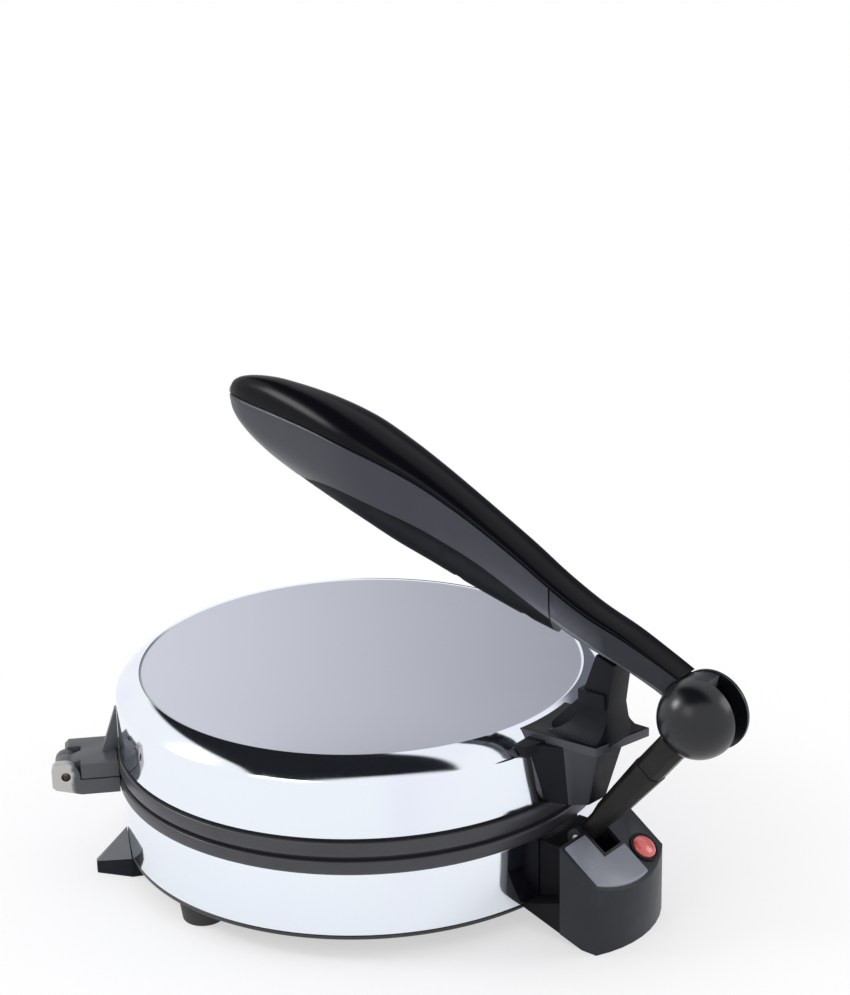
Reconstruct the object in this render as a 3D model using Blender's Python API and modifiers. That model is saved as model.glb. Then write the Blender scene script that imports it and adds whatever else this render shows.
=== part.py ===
"""Electric roti maker: a round two-plate press on feet, with a hinged lid and a lever handle.

Metres, +Z up. The body's axis is vertical and the floor is z = 0. The lid's hinge is on the -X side.
The press plane, with the power box, the link and the handle, stands at an angle to it. Outlines in that
plane use r, the distance outward from the body's axis, and z, the height above the floor.
"""
import bpy
import bmesh
import math
from mathutils import Matrix, Vector

MM = 0.001

# Whole object: the sizes that everything else follows
RING_RADIUS = 123.0 * MM
PAN_HEIGHT = 10.0 * MM
PARTING_HEIGHT = 52.0 * MM
LID_HEIGHT = 46.2 * MM
PRESS_ANGLE = math.radians(-47.0)

# Clearances and overruns
FIT_GAP = 0.3 * MM
RUNNING_GAP = 0.6 * MM
OVERRUN = 2.0 * MM
MERGE = 0.00001

# Segment counts
BODY_STEPS = 72
SMALL_STEPS = 28
SCREW_STEPS = 16
HANDLE_STEPS = 12

# Trim rings
LOWER_RING_HEIGHT = 8.1 * MM
UPPER_RING_HEIGHT = 9.7 * MM
RING_DEPTH = 12.4 * MM
RING_FLANGE_DEPTH = 7.6 * MM
RING_FLANGE = 1.8 * MM
RING_EDGE = 1.2 * MM

# Lower band and pan
BAND_INSET = 2.2 * MM
BAND_WALL = 0.9 * MM
PAN_WALL = 2.0 * MM
PAN_SIDE = 12.0 * MM

# Lid shell
SHELL_INSET = 1.3 * MM
SHELL_WALL = 0.9 * MM
SHOULDER_DROP = 7.8 * MM
SHOULDER_ROUND = 2.4 * MM
SHOULDER_RUN = 11.9 * MM
DISC_STEP = 0.5 * MM

# Cooking plates and heaters
PLATE_WALL = 5.0 * MM
PLATE_GAP = 1.4 * MM
PLATE_EDGE = 1.0 * MM
HEATER_MARGIN = 19.0 * MM
HEATER_TUBE = 3.5 * MM
HEATER_SWEEP = math.radians(320.0)
HEATER_TAIL = 14.0 * MM
HEATER_POINTS = 34
REFLECTOR_MARGIN = 9.0 * MM
REFLECTOR_WALL = 1.0 * MM
REFLECTOR_LIP = 4.0 * MM
CLAMP_MARGIN = 15.5 * MM
CLAMP_HOLE_RADIUS = 2.4 * MM
SCREW_RADIUS = 1.5 * MM
SCREW_HEAD_RADIUS = 3.4 * MM
SCREW_HEAD = 1.6 * MM
THERMOSTAT_RADIUS = 9.0 * MM
THERMOSTAT_INSET = 30.0 * MM
FUSE_RADIUS = 2.5 * MM
FUSE_LENGTH = 16.0 * MM
FUSE_INSET = 20.0 * MM
POST_RADIUS = 3.4 * MM
POST_MARGIN = 0.6 * MM
POST_ANGLES = [math.radians(a) for a in (85.0, 205.0, 325.0)]

# Feet
FOOT_RADIUS = 11.5 * MM
FOOT_TAPER = 1.3 * MM
FOOT_ANGLES = {"front_foot": math.radians(-142.2), "rear_left_foot": math.radians(138.0),
               "rear_right_foot": math.radians(38.0)}
TOE_LENGTH = 16.2 * MM
TOE_ANGLE = math.radians(-174.5)
TOE_HALF_WIDTH = 10.5 * MM
TOE_TIP_HALF_WIDTH = 1.2 * MM
TOE_HEIGHT = 23.0 * MM
TOE_TIP_HEIGHT = 6.4 * MM

# Lid hinge
PIN_OUT = 25.0 * MM
PIN_RADIUS = 2.0 * MM
HINGE_HALF_WIDTH = 15.5 * MM
EAR_WIDTH = 4.8 * MM
EAR_RADIUS = 6.8 * MM
EAR_RISE = 1.8 * MM
KNUCKLE_RADIUS = 5.4 * MM
KNUCKLE_END = 0.6 * MM
EAR_HEEL = 7.2 * MM
SHOULDER_PAST_PIN = 0.5 * MM
SHOULDER_BEVEL = 2.0 * MM
LID_ARM_HEIGHT = 8.0 * MM
RIB_WIDTH = 5.0 * MM
RIB_HEIGHT = 22.0 * MM
RIB_FOOT = 9.0 * MM

# Power box
BOX_OUT = 16.5 * MM
BOX_LENGTH = 27.8 * MM
BOX_BOW = 7.3 * MM
BOX_HALF_WIDTH = 27.3 * MM
BOX_BELOW_PARTING = 3.0 * MM
BOX_NOSE_HEIGHT = 28.6 * MM
BOX_WALL = 2.4 * MM
BOX_FOOT_LENGTH = 12.5 * MM
NECK_HALF_WIDTH = 16.0 * MM
NECK_DROP = 7.0 * MM
NECK_GAP = 1.4 * MM
SKIRT_TOP = 20.0 * MM
NOSE_POINTS = 9
LAMP_NOSE_INSET = 10.3 * MM
LAMP_SIDE_INSET = 11.5 * MM
LAMP_RADIUS = 6.0 * MM
BEZEL_WALL = 1.0 * MM
BEZEL_LIP = 0.6 * MM
LENS_DOME = 2.4 * MM
NEON_RADIUS = 2.2 * MM
NEON_LENGTH = 9.0 * MM
TERMINAL_LENGTH = 22.0 * MM
TERMINAL_WIDTH = 12.0 * MM
TERMINAL_HEIGHT = 9.0 * MM
GLAND_RADIUS = 5.0 * MM
GLAND_WALL = 2.4 * MM
GLAND_LENGTH = 9.0 * MM
GLAND_OUT = 8.5 * MM
GLAND_HEIGHT = 20.0 * MM

# Link
LINK_PIVOT_INSET = 2.5 * MM
LINK_PIVOT_DROP = 4.0 * MM
LINK_WIDTH = 12.0 * MM
LINK_DEPTH = 11.4 * MM
LINK_TOP_DEPTH = 14.4 * MM
LINK_TANG_DEPTH = 9.0 * MM
LINK_SEAM_SHARE = 0.55
LINK_TANG_SHARE = 0.13
LINK_PIN_RADIUS = 2.4 * MM
LUG_RADIUS = 5.3 * MM
LUG_WALL = 3.6 * MM
SOCKET_DEPTH = 11.0 * MM
EYE_RADIUS = 11.0 * MM
EYE_WIDTH = 7.8 * MM

# Handle pivot and caps
PIVOT_OUT = 76.5 * MM
PIVOT_RISE = 23.4 * MM
BALL_RADIUS = 18.5 * MM
FAR_CAP_WIDTH = 2.4 * MM
FAR_CAP_EDGE = 1.0 * MM
HUB_HALF_WIDTH = 4.9 * MM
HANDLE_LIFT = math.radians(165.0)
BOLT_RADIUS = 3.0 * MM
BOLT_DEPTH = 7.0 * MM

# Handle: sections from the tip to the pivot
HANDLE_REACH = 278.2 * MM
HANDLE_RISE = 100.4 * MM
GRIP_HALF_WIDTH = 16.0 * MM
CROWN_HEIGHT = 13.0 * MM
GRIP_DEPTH = 42.0 * MM
ARM_HALF_WIDTH = 9.0 * MM
ARM_DEPTH = 14.6 * MM
GRIP_WALL = 2.8 * MM
TANG_DEPTH = 12.0 * MM
SEAM_GAP = 0.3 * MM
# reach from the tip, rise above the pivot, half width, crown and depth, as shares of the sizes above
GRIP_STATION_SHARES = [
    (0.000, 1.000, 0.10, 0.23, 0.10),
    (0.011, 1.001, 0.22, 0.50, 0.26),
    (0.036, 1.000, 0.38, 0.73, 0.41),
    (0.079, 0.993, 0.53, 0.92, 0.58),
    (0.128, 0.983, 0.66, 1.00, 0.70),
    (0.225, 0.954, 0.88, 0.98, 0.86),
    (0.309, 0.913, 1.00, 0.85, 0.95),
    (0.388, 0.857, 0.90, 0.62, 1.00),
    (0.459, 0.791, 0.76, 0.46, 0.98),
    (0.529, 0.709, 0.67, 0.35, 0.92),
    (0.588, 0.632, 0.62, 0.28, 0.84),
    (0.655, 0.537, 0.59, 0.24, 0.72),
    (0.719, 0.438, 0.56, 0.21, 0.57),
]
ARM_STATION_SHARES = [
    (0.722, 0.434, 1.00, 0.20, 1.13),
    (0.790, 0.339, 0.96, 0.19, 1.02),
    (0.860, 0.281, 0.91, 0.15, 0.96),
    (0.920, 0.214, 0.83, 0.09, 0.95),
    (0.975, 0.144, 0.76, 0.06, 1.03),
]
TANG_START_SHARE = 0.45
TANG_WIDTH_SHARE = 0.60
HANDLE_SCREW_SHARES = (0.52, 0.66)
BOSS_RADIUS = 5.2 * MM
SCREW_WELL = 5.0 * MM

# Press bracket on the lid: corners of its shelf and stem as (distance out from the shell, side)
SHELF_DROP = 1.0 * MM
SHELF_WALL = 4.2 * MM
SHELF_LAP = 13.7 * MM
SHELF_NEAR = (29.3 * MM, -15.5 * MM)
SHELF_FAR = (36.3 * MM, 17.5 * MM)
SHELF_HALF_WIDTH = 18.0 * MM
STEM_LAP = 0.7 * MM
STEM_TOP = [(12.3 * MM, -16.5 * MM), (24.3 * MM, -5.0 * MM), (28.8 * MM, 8.5 * MM), (10.3 * MM, 17.0 * MM)]
STEM_FOOT = [(10.3 * MM, -9.6 * MM), (17.8 * MM, -4.0 * MM), (18.8 * MM, 8.0 * MM), (8.3 * MM, 13.0 * MM)]
STEM_TOP_BACK = (-25.0 * MM, 18.5 * MM)
STEM_FOOT_BACK = (-14.5 * MM, 14.5 * MM)
UPRIGHT_HALF_WIDTH = 7.5 * MM
HUMP_LAP = 0.7 * MM
HUMP_RISE = 2.4 * MM
BLOCK_HALF_WIDTH = 9.5 * MM
BLOCK_OUT = 15.3 * MM
BLOCK_LENGTH = 14.0 * MM
BLOCK_RISE = 16.3 * MM
BLOCK_HEIGHT = 7.5 * MM
TONGUE_START = 8.5 * MM
TONGUE_LENGTH = 9.5 * MM
UPRIGHT_NECK_INSET = 3.0 * MM
UPRIGHT_NECK_RISE = 15.8 * MM
UPRIGHT_FLARE_INSET = 1.5 * MM
UPRIGHT_FLARE_RISE = 7.8 * MM
LUG_LENGTH = 6.5 * MM
LUG_DROP = 4.0 * MM
LUG_REACH = 28.5 * MM
LUG_INNER = 13.0 * MM
SADDLE_RISE = 14.5 * MM
SADDLE_INSET = 1.5 * MM
SADDLE_BACK_HALF_WIDTH = 13.0 * MM
# how high up the saddle a section is, and how much of the shelf's spread is left there
SADDLE_SHARES = [(0.0, 1.0), (0.10, 0.76), (0.25, 0.50), (0.45, 0.26), (0.70, 0.08), (1.0, 0.0)]
BEARING_GAP = 0.5 * MM
BEARING_RELIEF = 1.5 * MM
BRACKET_SCREW_RISES = (8.3 * MM, 20.3 * MM)
BRACKET_SCREW_DEPTH = 9.0 * MM

# Heights and radii worked out from the sizes above
LOWER_RING_TOP = PARTING_HEIGHT - FIT_GAP
LOWER_RING_BOTTOM = PARTING_HEIGHT - LOWER_RING_HEIGHT
UPPER_RING_BOTTOM = PARTING_HEIGHT + FIT_GAP
UPPER_RING_TOP = PARTING_HEIGHT + UPPER_RING_HEIGHT
DISC_TOP = PARTING_HEIGHT + LID_HEIGHT
SHELL_RADIUS = RING_RADIUS - SHELL_INSET
BAND_RADIUS = RING_RADIUS - BAND_INSET
RING_INNER_RADIUS = RING_RADIUS - RING_DEPTH
RING_FLANGE_RADIUS = RING_INNER_RADIUS - RING_FLANGE_DEPTH
DISC_RADIUS = SHELL_RADIUS - SHOULDER_RUN
PLATE_RADIUS = RING_INNER_RADIUS - FIT_GAP
REFLECTOR_RADIUS = RING_FLANGE_RADIUS - REFLECTOR_MARGIN
HEATER_RADIUS = REFLECTOR_RADIUS - HEATER_MARGIN
CLAMP_PITCH_RADIUS = HEATER_RADIUS - HEATER_TUBE - CLAMP_MARGIN
THERMOSTAT_OFFSET = CLAMP_PITCH_RADIUS - THERMOSTAT_INSET
FUSE_OFFSET = CLAMP_PITCH_RADIUS - FUSE_INSET
POST_PITCH_RADIUS = RING_FLANGE_RADIUS - POST_RADIUS - POST_MARGIN
FOOT_BOTTOM_RADIUS = FOOT_RADIUS - FOOT_TAPER
FOOT_PITCH_RADIUS = BAND_RADIUS - FOOT_RADIUS - FIT_GAP
TOE_REACH = BAND_RADIUS + TOE_LENGTH
LOWER_PLATE_TOP = PARTING_HEIGHT - PLATE_GAP / 2
LOWER_PLATE_BOTTOM = LOWER_PLATE_TOP - PLATE_WALL
UPPER_PLATE_BOTTOM = PARTING_HEIGHT + PLATE_GAP / 2
UPPER_PLATE_TOP = UPPER_PLATE_BOTTOM + PLATE_WALL
LOWER_REFLECTOR_TOP = LOWER_PLATE_BOTTOM - 2 * HEATER_TUBE - 2 * FIT_GAP
UPPER_REFLECTOR_BOTTOM = UPPER_PLATE_TOP + 2 * HEATER_TUBE + 2 * FIT_GAP
PAN_INNER_RADIUS = BAND_RADIUS - BAND_WALL - FIT_GAP - PAN_WALL
HINGE_HEIGHT = PARTING_HEIGHT + EAR_RISE
PIN_DISTANCE = RING_RADIUS + PIN_OUT
PIN_HOLE_RADIUS = PIN_RADIUS + FIT_GAP
HINGE_ARM_END = PIN_DISTANCE - EAR_HEEL
SHOULDER_REACH = PIN_DISTANCE + SHOULDER_PAST_PIN
BOX_BACK = RING_RADIUS + BOX_OUT
BOX_REACH = BOX_BACK + BOX_LENGTH
BOX_BACK_HEIGHT = PARTING_HEIGHT - BOX_BELOW_PARTING
BOX_FOOT_START = BOX_BACK + BOX_FOOT_LENGTH
NECK_TOP = BOX_BACK_HEIGHT - NECK_DROP
NECK_BACK = BAND_RADIUS + NECK_GAP
LAMP_REACH = BOX_REACH - LAMP_NOSE_INSET
LAMP_SIDE = BOX_HALF_WIDTH - LAMP_SIDE_INSET
BEZEL_RADIUS = LAMP_RADIUS + BEZEL_WALL + BEZEL_LIP
GLAND_REACH = BOX_BACK + GLAND_OUT
GLAND_BORE = GLAND_RADIUS - GLAND_WALL
LINK_PIVOT_R = BOX_BACK - LINK_PIVOT_INSET
LINK_PIVOT_Z = BOX_BACK_HEIGHT - LINK_PIVOT_DROP
PIVOT_R = SHELL_RADIUS + PIVOT_OUT
PIVOT_Z = DISC_TOP + PIVOT_RISE
SHELF_TOP = DISC_TOP - SHELF_DROP
STEM_BOTTOM = UPPER_RING_TOP - STEM_LAP
BLOCK_INNER_R = SHELL_RADIUS + BLOCK_OUT
BLOCK_BOTTOM = SHELF_TOP + BLOCK_RISE
TONGUE_INNER_R = BLOCK_INNER_R + TONGUE_START
TONGUE_OUTER_R = TONGUE_INNER_R + TONGUE_LENGTH
BRACKET_SCREW_HEIGHTS = [UPPER_RING_TOP + rise for rise in BRACKET_SCREW_RISES]

WORLD = Matrix.Identity(4)
PRESS = Matrix.Rotation(PRESS_ANGLE, 4, "Z")


def clear_scene():
    """Take every object out of the scene, so that the script can run twice."""
    for thing in list(bpy.data.objects):
        bpy.data.objects.remove(thing, do_unlink=True)


def make_collection(name):
    """A collection for the parts or for the cutters."""
    collection = bpy.data.collections.new(name)
    bpy.context.scene.collection.children.link(collection)
    return collection


def make_empty(name, parent, location=(0, 0, 0), angle=0.0):
    """A joint axis or a reference frame."""
    empty = bpy.data.objects.new(name, None)
    PARTS.objects.link(empty)
    empty.parent = parent
    empty.location = location
    empty.rotation_euler = (0, 0, angle)
    return empty


def finish_material(name, color, roughness, metallic):
    """A Principled material of one colour."""
    material = bpy.data.materials.new(name)
    material.use_nodes = True
    shader = material.node_tree.nodes["Principled BSDF"]
    shader.inputs["Base Color"].default_value = (*color, 1.0)
    shader.inputs["Roughness"].default_value = roughness
    shader.inputs["Metallic"].default_value = metallic
    material.diffuse_color = (*color, 1.0)
    return material


def link_part(thing, material, parent, offset=(0, 0, 0), smooth=True):
    """Put a finished piece in the model, under the empty that carries it."""
    PARTS.objects.link(thing)
    thing.parent = parent
    thing.location = -Vector(offset)
    thing.data.materials.clear()
    thing.data.materials.append(material)
    if smooth:
        thing.data.shade_smooth()
        thing.data.set_sharp_from_angle(angle=math.radians(32.0))
    return thing


def use_cutter(target, cutter, operation="DIFFERENCE"):
    """Cut a piece with another shape, or join the shape to it."""
    if cutter.name not in CUTTERS.objects:
        CUTTERS.objects.link(cutter)
    cutter.parent = target.parent
    cutter.location = target.location
    cutter.hide_render = True
    cutter.display_type = "WIRE"
    change = target.modifiers.new(cutter.name, "BOOLEAN")
    change.operation = operation
    change.solver = "EXACT"
    change.object = cutter
    return target


def round_edges(thing, width, segments=2, angle=35.0):
    """A small round on the edges that are sharper than the angle."""
    bevel = thing.modifiers.new("round", "BEVEL")
    bevel.width = width
    bevel.segments = segments
    bevel.limit_method = "ANGLE"
    bevel.angle_limit = math.radians(angle)
    bevel.use_clamp_overlap = True
    return thing


def object_from_bmesh(name, bm):
    """An object that holds what was modelled in a bmesh."""
    mesh = bpy.data.meshes.new(name)
    bm.to_mesh(mesh)
    bm.free()
    return bpy.data.objects.new(name, mesh)


def turned(name, profile, steps=BODY_STEPS, closed=True, place=WORLD):
    """A closed profile of (radius, height) turned about the upright axis of its place."""
    mesh = bpy.data.meshes.new(name)
    edges = [(i, i + 1) for i in range(len(profile) - 1)]
    if closed:
        edges.append((len(profile) - 1, 0))
    mesh.from_pydata([(r, 0, z) for r, z in profile], edges, [])
    source = bpy.data.objects.new(name + "_profile", mesh)
    bpy.context.scene.collection.objects.link(source)
    screw = source.modifiers.new("turn", "SCREW")
    screw.steps = steps
    screw.render_steps = steps
    screw.use_merge_vertices = True
    screw.merge_threshold = MERGE
    return settle(name, source, place)


def settle(name, source, place):
    """The evaluated mesh of a source object, welded and set in its place."""
    depsgraph = bpy.context.evaluated_depsgraph_get()
    mesh = bpy.data.meshes.new_from_object(source.evaluated_get(depsgraph))
    bpy.data.objects.remove(source, do_unlink=True)
    bm = bmesh.new()
    bm.from_mesh(mesh)
    bpy.data.meshes.remove(mesh)
    bmesh.ops.remove_doubles(bm, verts=bm.verts, dist=MERGE)
    bmesh.ops.transform(bm, matrix=place, verts=bm.verts)
    bmesh.ops.recalc_face_normals(bm, faces=bm.faces)
    return object_from_bmesh(name, bm)


def plate(name, outline, low, high, place=WORLD):
    """A flat outline in the place's own XY plane, extruded from one height to another."""
    curve = bpy.data.curves.new(name, "CURVE")
    curve.dimensions = "2D"
    curve.fill_mode = "BOTH"
    curve.extrude = (high - low) / 2
    spline = curve.splines.new("POLY")
    spline.points.add(len(outline) - 1)
    for point, (x, y) in zip(spline.points, outline):
        point.co = (x, y, 0, 1)
    spline.use_cyclic_u = True
    source = bpy.data.objects.new(name + "_outline", curve)
    bpy.context.scene.collection.objects.link(source)
    return settle(name, source, place @ Matrix.Translation((0, 0, (high + low) / 2)))


def side_plate(name, outline, low, high):
    """An outline of (r, z) in an upright plane, extruded sideways along +Y from low to high."""
    upright = Matrix.Rotation(math.radians(90.0), 4, "X")
    return plate(name, outline, -high, -low, upright)


def rod(name, start, end, radius, steps=SCREW_STEPS, end_radius=None):
    """A round bar or cone between two points."""
    start = Vector(start)
    end = Vector(end)
    bm = bmesh.new()
    if end_radius is None:
        end_radius = radius
    turn = (end - start).to_track_quat("Z", "Y").to_matrix().to_4x4()
    place = Matrix.Translation((start + end) / 2) @ turn
    bmesh.ops.create_cone(bm, cap_ends=True, segments=steps, radius1=radius, radius2=end_radius,
                          depth=(end - start).length, matrix=place)
    return object_from_bmesh(name, bm)


def block(name, low, high, place=WORLD):
    """A box between two corners."""
    low = Vector(low)
    high = Vector(high)
    bm = bmesh.new()
    size = Matrix.Diagonal((*(high - low), 1.0))
    bmesh.ops.create_cube(bm, size=1.0, matrix=place @ Matrix.Translation((high + low) / 2) @ size)
    return object_from_bmesh(name, bm)


def loft(name, sections):
    """A skin of flat triangles over a row of sections with equal point counts, closed at both ends."""
    bm = bmesh.new()
    rings = [[bm.verts.new(point) for point in section] for section in sections]
    for first, second in zip(rings, rings[1:]):
        for i in range(len(first)):
            j = (i + 1) % len(first)
            bm.faces.new((first[i], first[j], second[j], second[i]))
    bm.faces.new(reversed(rings[0]))
    bm.faces.new(rings[-1])
    bmesh.ops.triangulate(bm, faces=bm.faces)
    bmesh.ops.recalc_face_normals(bm, faces=bm.faces)
    return object_from_bmesh(name, bm)


def tube(name, points, radius, resolution=2):
    """A round tube with filled ends along a row of points."""
    curve = bpy.data.curves.new(name, "CURVE")
    curve.dimensions = "3D"
    curve.bevel_depth = radius
    curve.bevel_resolution = resolution
    curve.use_fill_caps = True
    spline = curve.splines.new("POLY")
    spline.points.add(len(points) - 1)
    for point, place in zip(spline.points, points):
        point.co = (*place, 1)
    source = bpy.data.objects.new(name + "_path", curve)
    bpy.context.scene.collection.objects.link(source)
    return settle(name, source, WORLD)


def arc(center, radius, start, end, count):
    """Points on an arc between two angles, both ends included."""
    angles = [start + (end - start) * i / (count - 1) for i in range(count)]
    return [(center[0] + radius * math.cos(a), center[1] + radius * math.sin(a)) for a in angles]


def polar(radius, angle, height):
    """A point at a radius and an angle about the body's axis."""
    return (radius * math.cos(angle), radius * math.sin(angle), height)


def at_share(table, share, column):
    """A column of a station table at a share of the handle's length."""
    for first, second in zip(table, table[1:]):
        if first[0] <= share <= second[0]:
            t = (share - first[0]) / (second[0] - first[0])
            return first[column] + t * (second[column] - first[column])
    return table[-1][column] if share > table[-1][0] else table[0][column]


def shell_outline(extra):
    """The lid shell's outer outline from top to bottom, moved out by a gap."""
    shoulder_top = DISC_TOP - SHOULDER_DROP
    points = [(DISC_RADIUS + extra / 2, DISC_TOP + extra)]
    points += [(SHELL_RADIUS - SHOULDER_ROUND + extra, shoulder_top + SHOULDER_ROUND / 2 + extra)]
    points += [(SHELL_RADIUS - SHOULDER_ROUND / 4 + extra, shoulder_top - SHOULDER_ROUND / 8 + extra)]
    points += [(SHELL_RADIUS + extra, shoulder_top - SHOULDER_ROUND)]
    points += [(SHELL_RADIUS + extra, UPPER_RING_TOP + FIT_GAP)]
    return points


def lid_clearance(name):
    """The space that the lid's shell and ring fill, with a fit gap, for what stands against them."""
    profile = [(0, DISC_TOP + FIT_GAP)] + shell_outline(FIT_GAP)[:-1]
    profile += [(SHELL_RADIUS + FIT_GAP, UPPER_RING_TOP + FIT_GAP), (RING_RADIUS + FIT_GAP, UPPER_RING_TOP + FIT_GAP)]
    profile += [(RING_RADIUS + FIT_GAP, LOWER_RING_BOTTOM), (0, LOWER_RING_BOTTOM)]
    return turned(name, profile, closed=False)


# Base: pan, band, ring, plate, heater


def base_pan():
    """The dark bottom pan, whose lip shows under the band."""
    lip_top = PAN_HEIGHT + PAN_WALL
    wall = PAN_INNER_RADIUS + PAN_WALL
    profile = [(0, lip_top), (PAN_INNER_RADIUS, lip_top), (PAN_INNER_RADIUS, lip_top + PAN_SIDE)]
    profile += [(wall, lip_top + PAN_SIDE), (wall, lip_top), (BAND_RADIUS, lip_top)]
    profile += [(BAND_RADIUS, PAN_HEIGHT + PAN_WALL / 2), (BAND_RADIUS - PAN_WALL / 2, PAN_HEIGHT), (0, PAN_HEIGHT)]
    pan = link_part(turned("base_pan", profile, closed=False), MATERIALS["pan"], ROOT)
    for number, angle in enumerate(POST_ANGLES):
        hole = rod(f"pan_hole_{number}", polar(POST_PITCH_RADIUS, angle, PAN_HEIGHT - OVERRUN),
                   polar(POST_PITCH_RADIUS, angle, lip_top + OVERRUN), SCREW_RADIUS + FIT_GAP)
        use_cutter(pan, hole)


def base_band():
    """The chrome band of the base."""
    low = PAN_HEIGHT + PAN_WALL + FIT_GAP
    high = LOWER_RING_BOTTOM - FIT_GAP
    inner = BAND_RADIUS - BAND_WALL
    profile = [(inner, high), (BAND_RADIUS, high), (BAND_RADIUS, low), (inner, low)]
    link_part(turned("base_band", profile), MATERIALS["chrome"], ROOT)


def trim_ring(name, bottom, top, flange_bottom, parent, offset):
    """A moulded ring with a flange on its inside that carries the cooking plate."""
    flange_top = flange_bottom + RING_FLANGE
    outer = RING_RADIUS
    profile = [(RING_INNER_RADIUS, top), (outer - RING_EDGE, top), (outer, top - RING_EDGE)]
    profile += [(outer, bottom + RING_EDGE), (outer - RING_EDGE, bottom)]
    if flange_bottom < bottom + RING_EDGE:
        profile += [(RING_FLANGE_RADIUS, bottom), (RING_FLANGE_RADIUS, flange_top)]
        profile += [(RING_INNER_RADIUS, flange_top)]
    else:
        profile += [(RING_INNER_RADIUS, bottom), (RING_INNER_RADIUS, flange_bottom)]
        profile += [(RING_FLANGE_RADIUS, flange_bottom), (RING_FLANGE_RADIUS, top)]
        profile.pop(0)
    link_part(turned(name, profile), MATERIALS["ring"], parent, offset)


def cooking_plate(name, bottom, top, parent, offset):
    """A non-stick aluminium plate that sits on its ring's flange."""
    profile = [(0, top), (PLATE_RADIUS - PLATE_EDGE, top), (PLATE_RADIUS, top - PLATE_EDGE)]
    profile += [(PLATE_RADIUS, bottom + PLATE_EDGE), (PLATE_RADIUS - PLATE_EDGE, bottom), (0, bottom)]
    link_part(turned(name, profile, closed=False), MATERIALS["plate"], parent, offset)


def heater(name, height, tail_way, parent, offset):
    """A tubular heater bent to an open ring, with two ends that turn away from the plate."""
    start = (2 * math.pi - HEATER_SWEEP) / 2
    points = [polar(HEATER_RADIUS - HEATER_TAIL, start, height)]
    for i in range(HEATER_POINTS):
        points.append(polar(HEATER_RADIUS, start + HEATER_SWEEP * i / (HEATER_POINTS - 1), height))
    points.append(polar(HEATER_RADIUS - HEATER_TAIL, start + HEATER_SWEEP, height))
    ring = tube(name, [(p[0] * tail_way, p[1], p[2]) for p in points], HEATER_TUBE)
    link_part(ring, MATERIALS["heater"], parent, offset)


def reflector(name, face, way, parent, offset):
    """A pressed sheet that holds the heater against its plate; way is +1 upward, -1 downward."""
    back = face + way * REFLECTOR_WALL
    lip = face - way * REFLECTOR_LIP
    rim = REFLECTOR_RADIUS + REFLECTOR_WALL
    profile = [(0, back), (rim, back), (rim, lip), (REFLECTOR_RADIUS, lip), (REFLECTOR_RADIUS, face), (0, face)]
    if way < 0:
        profile.reverse()
    sheet = link_part(turned(name, profile, closed=False), MATERIALS["sheet"], parent, offset)
    for number in range(3):
        angle = 2 * math.pi * (number + 0.5) / 3
        low = min(face, back) - OVERRUN
        high = max(face, back) + OVERRUN
        hole = rod(f"{name}_hole_{number}", polar(CLAMP_PITCH_RADIUS, angle, low),
                   polar(CLAMP_PITCH_RADIUS, angle, high), CLAMP_HOLE_RADIUS)
        use_cutter(sheet, hole)


def clamp_screws(prefix, plate_face, sheet_back, way, parent, offset):
    """The screws that pull a reflector to its plate; each ends on the plate's back."""
    for number in range(3):
        angle = 2 * math.pi * (number + 0.5) / 3
        head_face = sheet_back + way * FIT_GAP
        head_top = head_face + way * SCREW_HEAD
        tip = plate_face + way * FIT_GAP
        name = f"{prefix}_clamp_screw_{number + 1}"
        profile_heights = sorted([tip, head_face, head_top])
        if way < 0:
            low_r, high_r = SCREW_HEAD_RADIUS, SCREW_RADIUS
        else:
            low_r, high_r = SCREW_RADIUS, SCREW_HEAD_RADIUS
        low, middle, high = profile_heights
        profile = [(0, high), (high_r, high), (high_r, middle), (low_r, middle), (low_r, low), (0, low)]
        place = Matrix.Translation(polar(CLAMP_PITCH_RADIUS, angle, 0))
        screw = turned(name, profile, SCREW_STEPS, closed=False, place=place)
        link_part(screw, MATERIALS["zinc"], parent, offset)


def thermostat_and_fuse():
    """The thermostat and the thermal fuse between the lower plate and its reflector."""
    low = LOWER_REFLECTOR_TOP + FIT_GAP
    high = LOWER_PLATE_BOTTOM - FIT_GAP
    body = rod("thermostat", (THERMOSTAT_OFFSET, 0, low), (THERMOSTAT_OFFSET, 0, high), THERMOSTAT_RADIUS, SMALL_STEPS)
    link_part(round_edges(body, FIT_GAP * 2), MATERIALS["bakelite"], ROOT)
    height = low + FUSE_RADIUS
    fuse = rod("thermal_fuse", (-FUSE_LENGTH / 2, -FUSE_OFFSET, height), (FUSE_LENGTH / 2, -FUSE_OFFSET, height),
               FUSE_RADIUS)
    link_part(fuse, MATERIALS["ceramic"], ROOT)


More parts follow.
